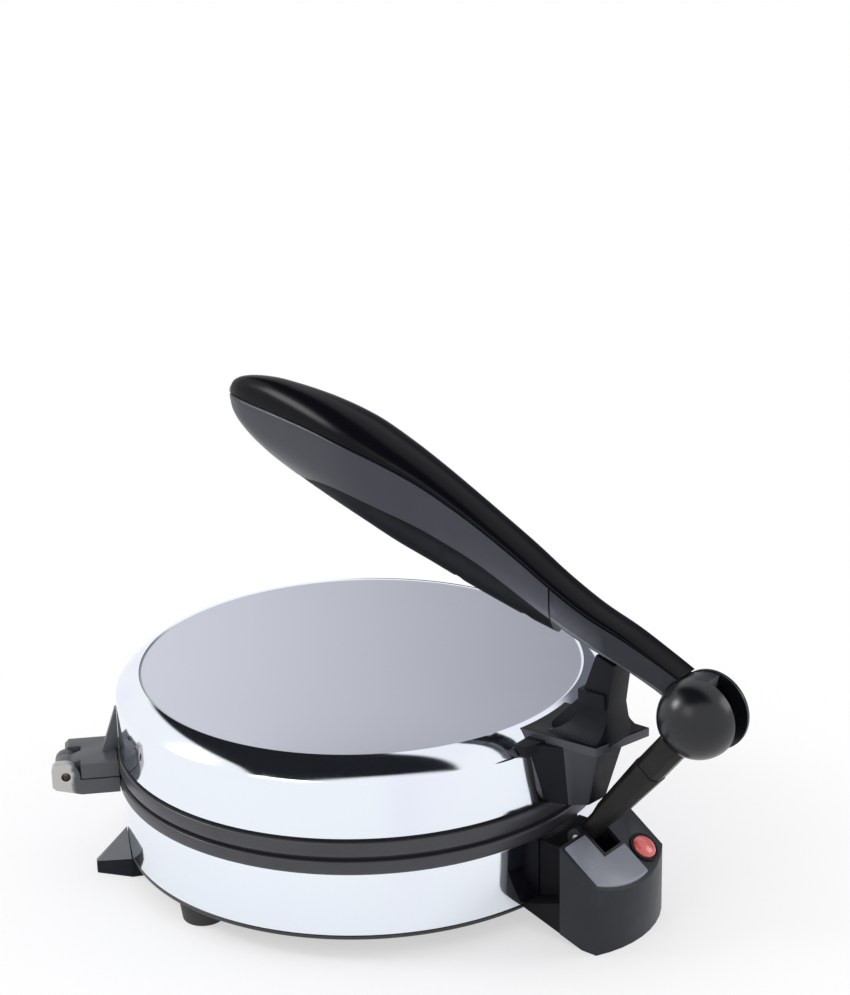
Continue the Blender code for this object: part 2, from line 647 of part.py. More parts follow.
def posts_and_pan_screws():
    """Posts that tie the pan to the lower ring, and the screws up through the pan."""
    low = PAN_HEIGHT + PAN_WALL + FIT_GAP
    high = LOWER_PLATE_BOTTOM - FIT_GAP
    for number, angle in enumerate(POST_ANGLES):
        post = rod(f"base_post_{number + 1}", polar(POST_PITCH_RADIUS, angle, low),
                   polar(POST_PITCH_RADIUS, angle, high), POST_RADIUS, SMALL_STEPS)
        link_part(post, MATERIALS["zinc"], ROOT)
        tip = low + (high - low) / 3
        bore = rod(f"post_bore_{number + 1}", polar(POST_PITCH_RADIUS, angle, low - OVERRUN),
                   polar(POST_PITCH_RADIUS, angle, tip + FIT_GAP), SCREW_RADIUS + FIT_GAP)
        use_cutter(post, bore)
        head = PAN_HEIGHT - FIT_GAP
        profile = [(0, tip), (SCREW_RADIUS, tip), (SCREW_RADIUS, head), (SCREW_HEAD_RADIUS, head)]
        profile += [(SCREW_HEAD_RADIUS, head - SCREW_HEAD), (0, head - SCREW_HEAD)]
        place = Matrix.Translation(polar(POST_PITCH_RADIUS, angle, 0))
        screw = turned(f"pan_screw_{number + 1}", profile, SCREW_STEPS, closed=False, place=place)
        link_part(screw, MATERIALS["zinc"], ROOT)


# Feet


def round_feet():
    """Moulded round feet under the pan."""
    top = PAN_HEIGHT - FIT_GAP
    for name, angle in FOOT_ANGLES.items():
        foot = rod(name, polar(FOOT_PITCH_RADIUS, angle, 0), polar(FOOT_PITCH_RADIUS, angle, top),
                   FOOT_BOTTOM_RADIUS, SMALL_STEPS, FOOT_RADIUS)
        link_part(round_edges(foot, FOOT_RADIUS - FOOT_BOTTOM_RADIUS, 2, 60.0), MATERIALS["rubber"], ROOT)


def hinge_toe():
    """The wedge under the hinge that keeps the press from tipping back when the lid is open."""
    back = BAND_RADIUS - TOE_HALF_WIDTH
    base = [(back, -TOE_HALF_WIDTH), (back, TOE_HALF_WIDTH)]
    base += [(BAND_RADIUS, TOE_HALF_WIDTH), (TOE_REACH, TOE_TIP_HALF_WIDTH)]
    base += [(TOE_REACH, -TOE_TIP_HALF_WIDTH), (BAND_RADIUS, -TOE_HALF_WIDTH)]
    bm = bmesh.new()
    for r, side in base:
        bm.verts.new((r, side, 0))
    bm.verts.new((TOE_REACH, TOE_TIP_HALF_WIDTH, TOE_TIP_HEIGHT))
    bm.verts.new((TOE_REACH, -TOE_TIP_HALF_WIDTH, TOE_TIP_HEIGHT))
    bm.verts.new((back, TOE_HALF_WIDTH / 2, TOE_HEIGHT))
    bm.verts.new((back, -TOE_HALF_WIDTH / 2, TOE_HEIGHT))
    bm.verts.new((BAND_RADIUS, 0, TOE_HEIGHT))
    bm.verts.new((BAND_RADIUS, TOE_HALF_WIDTH, PAN_HEIGHT))
    bm.verts.new((BAND_RADIUS, -TOE_HALF_WIDTH, PAN_HEIGHT))
    hull = bmesh.ops.convex_hull(bm, input=bm.verts)
    loose = [v for v in hull["geom_interior"] if isinstance(v, bmesh.types.BMVert)]
    bmesh.ops.delete(bm, geom=loose, context="VERTS")
    bmesh.ops.transform(bm, matrix=Matrix.Rotation(TOE_ANGLE, 4, "Z"), verts=bm.verts)
    bmesh.ops.recalc_face_normals(bm, faces=bm.faces)
    toe = link_part(object_from_bmesh("hinge_toe", bm), MATERIALS["black"], ROOT, smooth=False)
    body = [(0, TOE_HEIGHT + OVERRUN), (BAND_RADIUS + FIT_GAP, TOE_HEIGHT + OVERRUN)]
    body += [(BAND_RADIUS + FIT_GAP, PAN_HEIGHT - FIT_GAP), (0, PAN_HEIGHT - FIT_GAP)]
    use_cutter(toe, turned("toe_body_space", body, closed=False))


# Hinge


def hinge():
    """The base bracket with its two ears, the lid bracket with its knuckle and rib, and the pin."""
    pin = (-PIN_DISTANCE, HINGE_HEIGHT)
    back = -RING_RADIUS + 2 * OVERRUN
    arm_low = LOWER_RING_BOTTOM
    arm_high = PARTING_HEIGHT - FIT_GAP
    ear_low = HINGE_HEIGHT - EAR_RADIUS
    arm_end = -PIN_DISTANCE + EAR_RADIUS
    near_end = -HINGE_HALF_WIDTH
    knuckle_start = near_end + EAR_WIDTH + FIT_GAP
    far_ear_start = KNUCKLE_END + FIT_GAP
    far_ear_end = far_ear_start + EAR_WIDTH

    corner = (-PIN_DISTANCE - EAR_RADIUS / 2, HINGE_HEIGHT + EAR_RADIUS / 2)
    ear = arc(pin, EAR_RADIUS, 0, math.pi / 2, 6) + arc(corner, EAR_RADIUS / 2, math.pi / 2, math.pi, 4)
    ear += [(-PIN_DISTANCE - EAR_RADIUS, ear_low + EAR_RADIUS / 4), (-PIN_DISTANCE - EAR_RADIUS * 0.75, ear_low)]
    ear += [(-HINGE_ARM_END, arm_low), (back, arm_low), (back, arm_high), (arm_end, arm_high)]
    bracket = side_plate("base_hinge_bracket", ear, near_end, near_end + EAR_WIDTH)
    bracket = link_part(bracket, MATERIALS["hinge"], ROOT)
    arm = block("hinge_arm", (arm_end, near_end + FIT_GAP, arm_low + FIT_GAP),
                (back, HINGE_HALF_WIDTH, arm_high - FIT_GAP / 2))
    use_cutter(bracket, arm, "UNION")
    far_ear = arc(pin, KNUCKLE_RADIUS, 0, math.pi * 1.5, 12)
    far_ear += [(arm_end, arm_low + OVERRUN), (back, arm_low + OVERRUN), (back, arm_high - FIT_GAP)]
    far_ear += [(arm_end, arm_high - FIT_GAP)]
    use_cutter(bracket, side_plate("hinge_far_ear", far_ear, far_ear_start, far_ear_end), "UNION")
    near = (-PIN_DISTANCE, near_end - OVERRUN, HINGE_HEIGHT)
    far = (-PIN_DISTANCE, far_ear_end + FIT_GAP / 2, HINGE_HEIGHT)
    use_cutter(bracket, rod("hinge_bore", near, far, PIN_HOLE_RADIUS))
    ring_space = [(0, PARTING_HEIGHT), (RING_RADIUS + FIT_GAP, PARTING_HEIGHT)]
    ring_space += [(RING_RADIUS + FIT_GAP, arm_low - OVERRUN), (0, arm_low - OVERRUN)]
    use_cutter(bracket, turned("lower_ring_space", ring_space, closed=False))

    lid_low = PARTING_HEIGHT + FIT_GAP
    lid_high = PARTING_HEIGHT + LID_ARM_HEIGHT
    start = math.asin((lid_low - HINGE_HEIGHT) / KNUCKLE_RADIUS)
    knuckle = arc(pin, KNUCKLE_RADIUS, math.radians(60.0), 2 * math.pi + start, 14)
    knuckle += [(back, lid_low), (back, lid_high), (arm_end, lid_high)]
    lid_bracket = side_plate("lid_hinge_bracket", knuckle, knuckle_start, KNUCKLE_END)
    lid_bracket = link_part(lid_bracket, MATERIALS["hinge"], LID, LID_AXIS)
    wide = block("lid_arm_block", (arm_end + RUNNING_GAP, near_end, lid_low), (back, HINGE_HALF_WIDTH, lid_high))
    use_cutter(lid_bracket, wide, "UNION")
    shoulder = [(-SHOULDER_REACH, lid_low), (arm_end + OVERRUN, lid_low), (arm_end + OVERRUN, lid_high)]
    shoulder += [(-SHOULDER_REACH + SHOULDER_BEVEL, lid_high), (-SHOULDER_REACH, lid_high - SHOULDER_BEVEL)]
    use_cutter(lid_bracket, side_plate("lid_shoulder", shoulder, far_ear_end + FIT_GAP, HINGE_HALF_WIDTH), "UNION")
    foot = -SHELL_RADIUS - RIB_FOOT
    rib = [(foot, lid_high - OVERRUN), (back, lid_high - OVERRUN), (back, lid_high + RIB_HEIGHT)]
    rib += [(-SHELL_RADIUS - FIT_GAP * 3, lid_high + RIB_HEIGHT)]
    use_cutter(lid_bracket, side_plate("lid_rib", rib, -RIB_WIDTH / 2, RIB_WIDTH / 2), "UNION")
    use_cutter(lid_bracket, rod("lid_hinge_bore", near, far, PIN_HOLE_RADIUS))
    use_cutter(lid_bracket, lid_clearance("hinge_lid_space"))

    pin_start = (-PIN_DISTANCE, near_end + FIT_GAP * 4, HINGE_HEIGHT)
    pin_end = (-PIN_DISTANCE, far_ear_end - FIT_GAP, HINGE_HEIGHT)
    link_part(rod("hinge_pin", pin_start, pin_end, PIN_RADIUS), MATERIALS["steel"], ROOT)


# Lid


def lid_shell():
    """The pressed lid: mirror disc, sloping shoulder and upright band in one sheet."""
    outer = [(0, DISC_TOP - DISC_STEP), (DISC_RADIUS - DISC_STEP * 2, DISC_TOP - DISC_STEP)] + shell_outline(0)
    wall = SHELL_WALL
    shoulder = DISC_TOP - SHOULDER_DROP
    inner = [(SHELL_RADIUS - wall, UPPER_RING_TOP + FIT_GAP), (SHELL_RADIUS - wall, shoulder - SHOULDER_ROUND)]
    inner += [(SHELL_RADIUS - SHOULDER_ROUND - wall / 2, shoulder + SHOULDER_ROUND / 2 - wall)]
    inner += [(DISC_RADIUS - wall / 2, DISC_TOP - DISC_STEP - wall), (0, DISC_TOP - DISC_STEP - wall)]
    shell = link_part(turned("lid_shell", outer + inner, closed=False), MATERIALS["chrome"], LID, LID_AXIS)
    for number, height in enumerate(BRACKET_SCREW_HEIGHTS):
        hole = press_rod(f"shell_hole_{number}", SHELL_RADIUS - OVERRUN * 2, SHELL_RADIUS + OVERRUN, height,
                         SCREW_RADIUS + FIT_GAP)
        use_cutter(shell, hole)


def press_rod(name, start_r, end_r, height, radius):
    """A round bar that runs outward in the press plane, in the body's own axes."""
    start = PRESS @ Vector((start_r, 0, height))
    end = PRESS @ Vector((end_r, 0, height))
    return rod(name, start, end, radius)


def bracket_screws():
    """Screws from inside the lid that hold the press bracket."""
    inner = SHELL_RADIUS - SHELL_WALL - FIT_GAP * 2
    for number, height in enumerate(BRACKET_SCREW_HEIGHTS):
        name = f"bracket_screw_{number + 1}"
        profile = [(0, inner + BRACKET_SCREW_DEPTH), (SCREW_RADIUS, inner + BRACKET_SCREW_DEPTH)]
        profile += [(SCREW_RADIUS, inner), (SCREW_HEAD_RADIUS, inner), (SCREW_HEAD_RADIUS, inner - SCREW_HEAD)]
        profile += [(0, inner - SCREW_HEAD)]
        place = PRESS @ Matrix.Translation((0, 0, height)) @ Matrix.Rotation(math.radians(90.0), 4, "Y")
        screw = turned(name, profile, SCREW_STEPS, closed=False, place=place)
        link_part(screw, MATERIALS["zinc"], LID, LID_AXIS)


def handle_point(share):
    """Where the handle's seam is at a share of its length, as (r, z)."""
    table = GRIP_STATION_SHARES + ARM_STATION_SHARES
    return (PIVOT_R - HANDLE_REACH * (1 - share), PIVOT_Z + HANDLE_RISE * at_share(table, share, 1))


def arm_underside(r):
    """The height of the handle arm's underside at a distance from the body's axis."""
    share = 1 - (PIVOT_R - r) / HANDLE_REACH
    depth = ARM_DEPTH * at_share(ARM_STATION_SHARES, share, 4)
    return handle_point(share)[1] - depth


def from_shell(points):
    """Turn corners measured out from the lid shell into (r, side)."""
    return [(SHELL_RADIUS + out, side) for out, side in points]


def bracket_saddle():
    """The hollow-sided foot by which the bracket's upright spreads over the shelf."""
    back = SADDLE_BACK_HALF_WIDTH
    spread = [(-HUMP_LAP, -back), (SHELF_NEAR[0] - SADDLE_INSET, SHELF_NEAR[1] + SADDLE_INSET)]
    spread += [(SHELF_FAR[0] - SADDLE_INSET, SHELF_FAR[1] - SADDLE_INSET), (-HUMP_LAP, back)]
    near = BLOCK_OUT - OVERRUN / 2
    far = TONGUE_OUTER_R - UPRIGHT_NECK_INSET - SHELL_RADIUS - FIT_GAP
    half = UPRIGHT_HALF_WIDTH - FIT_GAP
    column = [(near, -half), (far, -half), (far, half), (near, half)]
    sections = []
    for up, left in SADDLE_SHARES:
        corners = [(b + (a - b) * left, d + (c - d) * left) for (a, c), (b, d) in zip(spread, column)]
        height = SHELF_TOP - FIT_GAP + SADDLE_RISE * up
        sections.append([PRESS @ Vector((r, side, height)) for r, side in from_shell(corners)])
    return loft("bracket_saddle", sections)


def press_bracket():
    """The bracket on the lid: stem against the shell, shelf, and the upright under the handle."""
    shelf = [(-SHELF_LAP, -SHELF_HALF_WIDTH), SHELF_NEAR, SHELF_FAR, (-SHELF_LAP, SHELF_HALF_WIDTH)]
    under = SHELF_TOP - SHELF_WALL
    bracket = plate("press_bracket", from_shell(shelf), under, SHELF_TOP, PRESS)
    bracket = link_part(bracket, MATERIALS["black"], LID, LID_AXIS, smooth=False)

    def stem_section(corners, back_sides, height):
        first = (-OVERRUN * 2, back_sides[0])
        last = (-OVERRUN * 2, back_sides[1])
        return [PRESS @ Vector((r, side, height)) for r, side in from_shell([first] + corners + [last])]

    foot = stem_section(STEM_FOOT, STEM_FOOT_BACK, STEM_BOTTOM)
    stem = loft("bracket_stem", [foot, stem_section(STEM_TOP, STEM_TOP_BACK, under + FIT_GAP)])
    use_cutter(bracket, stem, "UNION")

    sunk = SHELF_TOP - SHELF_WALL / 2
    hump = SHELL_RADIUS - HUMP_LAP
    shelf_end = SHELL_RADIUS + SHELF_NEAR[0]
    upright = [(hump, sunk), (shelf_end + OVERRUN, sunk), (shelf_end + OVERRUN * 2, SHELF_TOP)]
    upright += [(TONGUE_OUTER_R - UPRIGHT_FLARE_INSET, SHELF_TOP + UPRIGHT_FLARE_RISE)]
    upright += [(TONGUE_OUTER_R - UPRIGHT_NECK_INSET, SHELF_TOP + UPRIGHT_NECK_RISE)]
    upright += [(TONGUE_OUTER_R, arm_underside(TONGUE_OUTER_R) - BEARING_RELIEF)]
    upright += [(TONGUE_INNER_R, arm_underside(TONGUE_INNER_R) - BEARING_GAP)]
    block_top = BLOCK_BOTTOM + BLOCK_HEIGHT
    upright += [(BLOCK_INNER_R + OVERRUN, block_top - FIT_GAP), (BLOCK_INNER_R - OVERRUN / 2, BLOCK_BOTTOM + OVERRUN)]
    upright += [(hump, SHELF_TOP + HUMP_RISE)]
    web = in_press(side_plate("bracket_upright", upright, -UPRIGHT_HALF_WIDTH, UPRIGHT_HALF_WIDTH))
    use_cutter(bracket, web, "UNION")
    cross = block("bracket_block", (BLOCK_INNER_R, -BLOCK_HALF_WIDTH, BLOCK_BOTTOM),
                  (BLOCK_INNER_R + BLOCK_LENGTH, BLOCK_HALF_WIDTH, block_top), PRESS)
    use_cutter(bracket, cross, "UNION")
    use_cutter(bracket, bracket_saddle(), "UNION")
    for side in (-1, 1):
        lug = [(-LUG_LENGTH, side * LUG_INNER), (LUG_LENGTH / 2, side * LUG_INNER)]
        lug += [(0, side * LUG_REACH), (-LUG_LENGTH, side * LUG_REACH)]
        lug_plate = plate(f"bracket_lug_{side + 2}", from_shell(lug), under - LUG_DROP + FIT_GAP,
                          under + SHELF_WALL / 3, PRESS)
        use_cutter(bracket, lug_plate, "UNION")
    use_cutter(bracket, lid_clearance("bracket_lid_space"))
    inner = SHELL_RADIUS - SHELL_WALL - FIT_GAP * 2
    for number, height in enumerate(BRACKET_SCREW_HEIGHTS):
        bore = press_rod(f"bracket_bore_{number}", SHELL_RADIUS - OVERRUN, inner + BRACKET_SCREW_DEPTH + FIT_GAP,
                         height, SCREW_RADIUS + FIT_GAP)
        use_cutter(bracket, bore)


def in_press(thing):
    """Turn a piece modelled in the press plane into the body's own axes."""
    thing.data.transform(PRESS)
    return thing


# Power box


def box_top(r):
    """The height of the power box's sloping top."""
    slope = (BOX_BACK_HEIGHT - BOX_NOSE_HEIGHT) / (BOX_REACH - BOX_BACK)
    return BOX_BACK_HEIGHT - slope * (r - BOX_BACK)


def box_floor(r):
    """The height of the power box's lower edge, which rises from its foot to the pan."""
    return PAN_HEIGHT * (BOX_FOOT_START - r) / (BOX_FOOT_START - NECK_BACK)


def box_plan(inset):
    """The box's plan outline as (r, side), with its round nose, drawn in by a wall."""
    radius = (BOX_HALF_WIDTH ** 2 + BOX_BOW ** 2) / (2 * BOX_BOW)
    half = BOX_HALF_WIDTH - inset
    sweep = math.asin(half / (radius - inset))
    nose = arc((BOX_REACH - radius, 0), radius - inset, -sweep, sweep, NOSE_POINTS)
    return [(BOX_BACK + inset, -half)] + nose + [(BOX_BACK + inset, half)]


def standing_solid(name, plan, low, high):
    """An upright solid over a plan, with its floor and top heights as functions of r."""
    bottom = [(r, side, low(r)) for r, side in plan]
    top = [(r, side, high(r)) for r, side in plan]
    return loft(name, [bottom, top])


def power_box():
    """The box that holds the terminals and the lamp, and carries the link."""
    box = standing_solid("power_box", box_plan(0), lambda r: 0, box_top)
    box = link_part(box, MATERIALS["box"], PRESS_FRAME, smooth=False)
    join_r = BOX_BACK + BOX_WALL / 2
    neck_back = NECK_BACK - OVERRUN
    neck = [(neck_back, -NECK_HALF_WIDTH), (join_r, -NECK_HALF_WIDTH)]
    neck += [(join_r, NECK_HALF_WIDTH), (neck_back, NECK_HALF_WIDTH)]
    neck_low = PAN_HEIGHT + PAN_WALL
    use_cutter(box, standing_solid("box_neck", neck, lambda r: neck_low, lambda r: NECK_TOP), "UNION")
    skirt_half = BOX_HALF_WIDTH - FIT_GAP
    skirt_back = NECK_BACK - OVERRUN * 3
    skirt = [(skirt_back, -skirt_half), (join_r, -skirt_half), (join_r, skirt_half), (skirt_back, skirt_half)]
    slope = (SKIRT_TOP - neck_low) / (BOX_BACK - skirt_back)
    use_cutter(box, standing_solid("box_skirt", skirt, lambda r: FIT_GAP,
                                   lambda r: neck_low + slope * (r - skirt_back)), "UNION")

    plan = box_plan(BOX_WALL)
    use_cutter(box, standing_solid("box_cavity", plan, lambda r: -OVERRUN, lambda r: box_top(r) - BOX_WALL * 1.25))
    half = NECK_HALF_WIDTH - BOX_WALL
    duct = block("box_duct", (neck_back - OVERRUN, -half, neck_low + BOX_WALL),
                 (BOX_BACK + BOX_WALL * 2, half, NECK_TOP - BOX_WALL))
    use_cutter(box, duct)

    lug = arc((LINK_PIVOT_R, LINK_PIVOT_Z), LUG_RADIUS, math.pi / 2, math.pi * 1.5, 10)
    lug += [(join_r, LINK_PIVOT_Z - LUG_RADIUS), (join_r, box_top(join_r) - BOX_WALL / 2)]
    for side in (-1, 1):
        inner = side * LINK_WIDTH / 2
        outer = side * (LINK_WIDTH / 2 + RUNNING_GAP + LUG_WALL)
        use_cutter(box, side_plate(f"box_lug_{side + 2}", lug, min(inner, outer), max(inner, outer)), "UNION")
        bore_in = (LINK_PIVOT_R, inner - side * OVERRUN, LINK_PIVOT_Z)
        bore_out = (LINK_PIVOT_R, outer + side * OVERRUN, LINK_PIVOT_Z)
        use_cutter(box, rod(f"box_lug_bore_{side + 2}", bore_in, bore_out, LINK_PIN_RADIUS + FIT_GAP, SMALL_STEPS))

    slot_half = LINK_WIDTH / 2 + RUNNING_GAP
    low = LINK_PIVOT_Z - LINK_TANG_DEPTH
    slot = block("box_slot", (LINK_PIVOT_R - LINK_TANG_DEPTH, -slot_half, low),
                 (LINK_PIVOT_R + LINK_TANG_DEPTH * 1.5, slot_half, BOX_BACK_HEIGHT + OVERRUN * 2))
    use_cutter(box, slot)

    lamp_low, lamp_high = lamp_axis(-BOX_WALL * 2, BOX_WALL * 2)
    use_cutter(box, rod("box_lamp_hole", lamp_low, lamp_high, LAMP_RADIUS + BEZEL_WALL + FIT_GAP, SMALL_STEPS))
    gland_in = (GLAND_REACH, BOX_HALF_WIDTH - BOX_WALL - OVERRUN, GLAND_HEIGHT)
    gland_out = (GLAND_REACH, BOX_HALF_WIDTH + OVERRUN, GLAND_HEIGHT)
    use_cutter(box, rod("box_gland_hole", gland_in, gland_out, GLAND_RADIUS - FIT_GAP * 4, SMALL_STEPS))
    rise = [(r, box_floor(r)) for r in (BOX_FOOT_START + OVERRUN * 2, skirt_back - OVERRUN)]
    rise += [(skirt_back - OVERRUN, -OVERRUN * 2), (BOX_FOOT_START + OVERRUN * 2, -OVERRUN * 2)]
    wide = BOX_HALF_WIDTH + OVERRUN
    use_cutter(box, side_plate("box_rise", rise, -wide, wide))
    ring_space = RING_RADIUS + RUNNING_GAP
    ring_low = LOWER_RING_BOTTOM - FIT_GAP
    body = [(0, DISC_TOP), (ring_space, DISC_TOP), (ring_space, ring_low)]
    body += [(BAND_RADIUS + FIT_GAP, ring_low), (BAND_RADIUS + FIT_GAP, PAN_HEIGHT - FIT_GAP)]
    body += [(0, PAN_HEIGHT - FIT_GAP)]
    use_cutter(box, turned("box_body_space", body, closed=False))


def lamp_axis(low, high):
    """Two points on the lamp's axis, square to the box's sloping top."""
    slope = math.atan2(BOX_BACK_HEIGHT - BOX_NOSE_HEIGHT, BOX_REACH - BOX_BACK)
    normal = Vector((math.sin(slope), 0, math.cos(slope)))
    center = Vector((LAMP_REACH, LAMP_SIDE, box_top(LAMP_REACH)))
    return center + normal * low, center + normal * high


def lamp_place():
    """A frame on the box's sloping top, centred on the lamp, with +Z square to the top."""
    slope = math.atan2(BOX_BACK_HEIGHT - BOX_NOSE_HEIGHT, BOX_REACH - BOX_BACK)
    return Matrix.Translation((LAMP_REACH, LAMP_SIDE, box_top(LAMP_REACH))) @ Matrix.Rotation(slope, 4, "Y")


def indicator():
    """The bezel, the red lens and the neon lamp behind it."""
    bore = LAMP_RADIUS + FIT_GAP
    sleeve = LAMP_RADIUS + BEZEL_WALL
    depth = BOX_WALL * 2.2
    profile = [(bore, BEZEL_WALL), (BEZEL_RADIUS - BEZEL_WALL / 2, BEZEL_WALL), (BEZEL_RADIUS, BEZEL_WALL / 2)]
    profile += [(BEZEL_RADIUS, FIT_GAP), (sleeve, FIT_GAP), (sleeve, -depth), (bore, -depth)]
    bezel = turned("lamp_bezel", profile, SMALL_STEPS, place=lamp_place())
    link_part(bezel, MATERIALS["black"], PRESS_FRAME)
    dome = arc((0, 0), 1.0, math.pi / 2, 0, 5)
    lens = [(LAMP_RADIUS * x, BEZEL_WALL * 0.6 + LENS_DOME * y) for x, y in dome]
    lens += [(LAMP_RADIUS, -depth / 2), (0, -depth / 2)]
    lens[0] = (0, lens[0][1])
    lens_part = turned("indicator_lens", lens, SMALL_STEPS, closed=False, place=lamp_place())
    link_part(lens_part, MATERIALS["lens"], PRESS_FRAME)
    top = -depth / 2 - FIT_GAP
    neon = [(0, top), (NEON_RADIUS, top), (NEON_RADIUS, top - NEON_LENGTH), (0, top - NEON_LENGTH)]
    neon_part = turned("neon_lamp", neon, SCREW_STEPS, closed=False, place=lamp_place())
    link_part(neon_part, MATERIALS["glass"], PRESS_FRAME)


def box_insides():
    """Bottom cover, terminal block and the cord gland in the far wall."""
    low = box_floor(BOX_BACK) + FIT_GAP
    plan = box_plan(BOX_WALL + FIT_GAP)
    cover = standing_solid("box_cover", plan, lambda r: low, lambda r: low + BOX_WALL)
    link_part(cover, MATERIALS["pan"], PRESS_FRAME, smooth=False)
    base = low + BOX_WALL + FIT_GAP
    middle = (BOX_BACK + BOX_REACH) / 2
    terminal = block("terminal_block", (middle - TERMINAL_WIDTH / 2, -TERMINAL_LENGTH / 2, base),
                     (middle + TERMINAL_WIDTH / 2, TERMINAL_LENGTH / 2, base + TERMINAL_HEIGHT))
    link_part(round_edges(terminal, FIT_GAP * 2), MATERIALS["ceramic"], PRESS_FRAME)
    wall_out = BOX_HALF_WIDTH + FIT_GAP
    place = Matrix.Translation((GLAND_REACH, wall_out, GLAND_HEIGHT)) @ Matrix.Rotation(math.radians(-90.0), 4, "X")
    neck = GLAND_RADIUS - FIT_GAP * 5
    profile = [(GLAND_BORE, GLAND_LENGTH), (GLAND_RADIUS * 0.85, GLAND_LENGTH), (GLAND_RADIUS * 1.2, 0)]
    profile += [(neck, 0), (neck, -BOX_WALL * 2), (GLAND_BORE, -BOX_WALL * 2)]
    gland = turned("cord_gland", profile, SMALL_STEPS, place=place)
    link_part(gland, MATERIALS["rubber"], PRESS_FRAME)


# Link and handle pivot


def link_frame():
    """The link's own frame: origin on its lower pivot, +X towards the handle's pivot."""
    angle = math.atan2(PIVOT_Z - LINK_PIVOT_Z, PIVOT_R - LINK_PIVOT_R)
    return Matrix.Translation((LINK_PIVOT_R, 0, LINK_PIVOT_Z)) @ Matrix.Rotation(-angle, 4, "Y")


def link_section(along, depth, half):
    """A chamfered rectangle across the link."""
    cut = depth * 0.2
    points = [(-half, depth / 2 - cut), (-half + cut, depth / 2), (half - cut, depth / 2), (half, depth / 2 - cut)]
    points += [(half, -depth / 2 + cut), (half - cut, -depth / 2), (-half + cut, -depth / 2), (-half, -depth / 2 + cut)]
    return [link_frame() @ Vector((along, side, up)) for side, up in points]


def link():
    """The sleeve from the box, the rod end in the handle's hub, and the lower pivot pin."""
    length = math.hypot(PIVOT_R - LINK_PIVOT_R, PIVOT_Z - LINK_PIVOT_Z)
    half = LINK_WIDTH / 2
    tang_end = length * LINK_TANG_SHARE
    seam = length * LINK_SEAM_SHARE
    sections = [link_section(-LINK_TANG_DEPTH * 0.45, LINK_TANG_DEPTH, half)]
    sections += [link_section(tang_end, LINK_TANG_DEPTH, half), link_section(tang_end + half, LINK_DEPTH, half)]
    sections += [link_section(seam, LINK_TOP_DEPTH, half)]
    sleeve = link_part(loft("link_sleeve", sections), MATERIALS["link"], LINK, LINK_AXIS, smooth=False)
    side = half + OVERRUN
    use_cutter(sleeve, rod("sleeve_bore", (LINK_PIVOT_R, -side, LINK_PIVOT_Z), (LINK_PIVOT_R, side, LINK_PIVOT_Z),
                           LINK_PIN_RADIUS + FIT_GAP, SMALL_STEPS))
    socket = seam - SOCKET_DEPTH
    rod_half = EYE_WIDTH * 0.4
    rod_depth = LINK_DEPTH * 0.6
    hollow = [link_section(socket - FIT_GAP, rod_depth + 2 * FIT_GAP, rod_half + FIT_GAP)]
    hollow += [link_section(seam + OVERRUN, rod_depth + 2 * FIT_GAP, rod_half + FIT_GAP)]
    use_cutter(sleeve, loft("sleeve_socket", hollow))

    neck = length - EYE_RADIUS * 0.6
    shank = [link_section(socket, rod_depth, rod_half), link_section(seam + OVERRUN, rod_depth, rod_half)]
    end = link_part(loft("link_end", shank), MATERIALS["link"], LINK, LINK_AXIS, smooth=False)
    upper = EYE_WIDTH / 2 - SEAM_GAP
    depth = LINK_TOP_DEPTH * 0.95
    body = [link_section(seam + FIT_GAP, depth, half * 0.96), link_section(length - BALL_RADIUS * 1.35, depth, half * 0.96)]
    body += [link_section(length - BALL_RADIUS * 1.12, depth, upper), link_section(neck, depth, upper)]
    use_cutter(end, loft("link_end_body", body), "UNION")
    eye = rod("link_eye", (PIVOT_R, -EYE_WIDTH / 2, PIVOT_Z), (PIVOT_R, EYE_WIDTH / 2, PIVOT_Z), EYE_RADIUS, SMALL_STEPS)
    use_cutter(end, eye, "UNION")
    use_cutter(end, rod("link_eye_bore", (PIVOT_R, -side, PIVOT_Z), (PIVOT_R, side, PIVOT_Z),
                        BOLT_RADIUS + FIT_GAP, SMALL_STEPS))
    pin_half = LINK_WIDTH / 2 + RUNNING_GAP + LUG_WALL
    pin = rod("link_pin", (LINK_PIVOT_R, -pin_half, LINK_PIVOT_Z), (LINK_PIVOT_R, pin_half, LINK_PIVOT_Z),
              LINK_PIN_RADIUS, SMALL_STEPS)
    link_part(pin, MATERIALS["steel"], PRESS_FRAME)


def station(table, row, depth_size, half_size):
    """The sizes of one handle station: r, seam height, half width, crown and depth."""
    share, rise, width, crown, depth = table[row]
    r = PIVOT_R - HANDLE_REACH * (1 - share)
    return r, PIVOT_Z + HANDLE_RISE * rise, half_size * width, CROWN_HEIGHT * crown, depth_size * depth


def crown_section(r, seam, half, crown):
    """The section of the handle's top shell, from one seam over the crown to the other."""
    base = seam + SEAM_GAP / 2
    points = []
    for i in range(HANDLE_STEPS + 1):
        a = math.pi * i / HANDLE_STEPS
        points.append((r, half * math.cos(a), base + crown * math.sin(a)))
    return points


# The grip's lower outline across its width, as shares of its half width and its depth
GRIP_SECTION_SHARES = [(1.0, 0.0), (0.99, 0.20), (0.96, 0.42), (0.89, 0.60), (0.62, 0.81), (0.30, 0.95), (0.0, 1.0)]
ARM_SECTION_SHARES = [(1.0, 0.0), (0.99, 0.40), (0.97, 0.78), (0.84, 0.96), (0.45, 1.0), (0.0, 1.0)]


def under_section(r, seam, half, depth, shares, drop=0.0):
    """The section of a piece under the seam, from one side round the bottom to the other."""
    top = seam - SEAM_GAP / 2 + drop
    right = [(r, half * y, top - (depth + drop) * z) for y, z in shares]
    left = [(r, -half * y, top - (depth + drop) * z) for y, z in reversed(shares[:-1])]
    return right + left


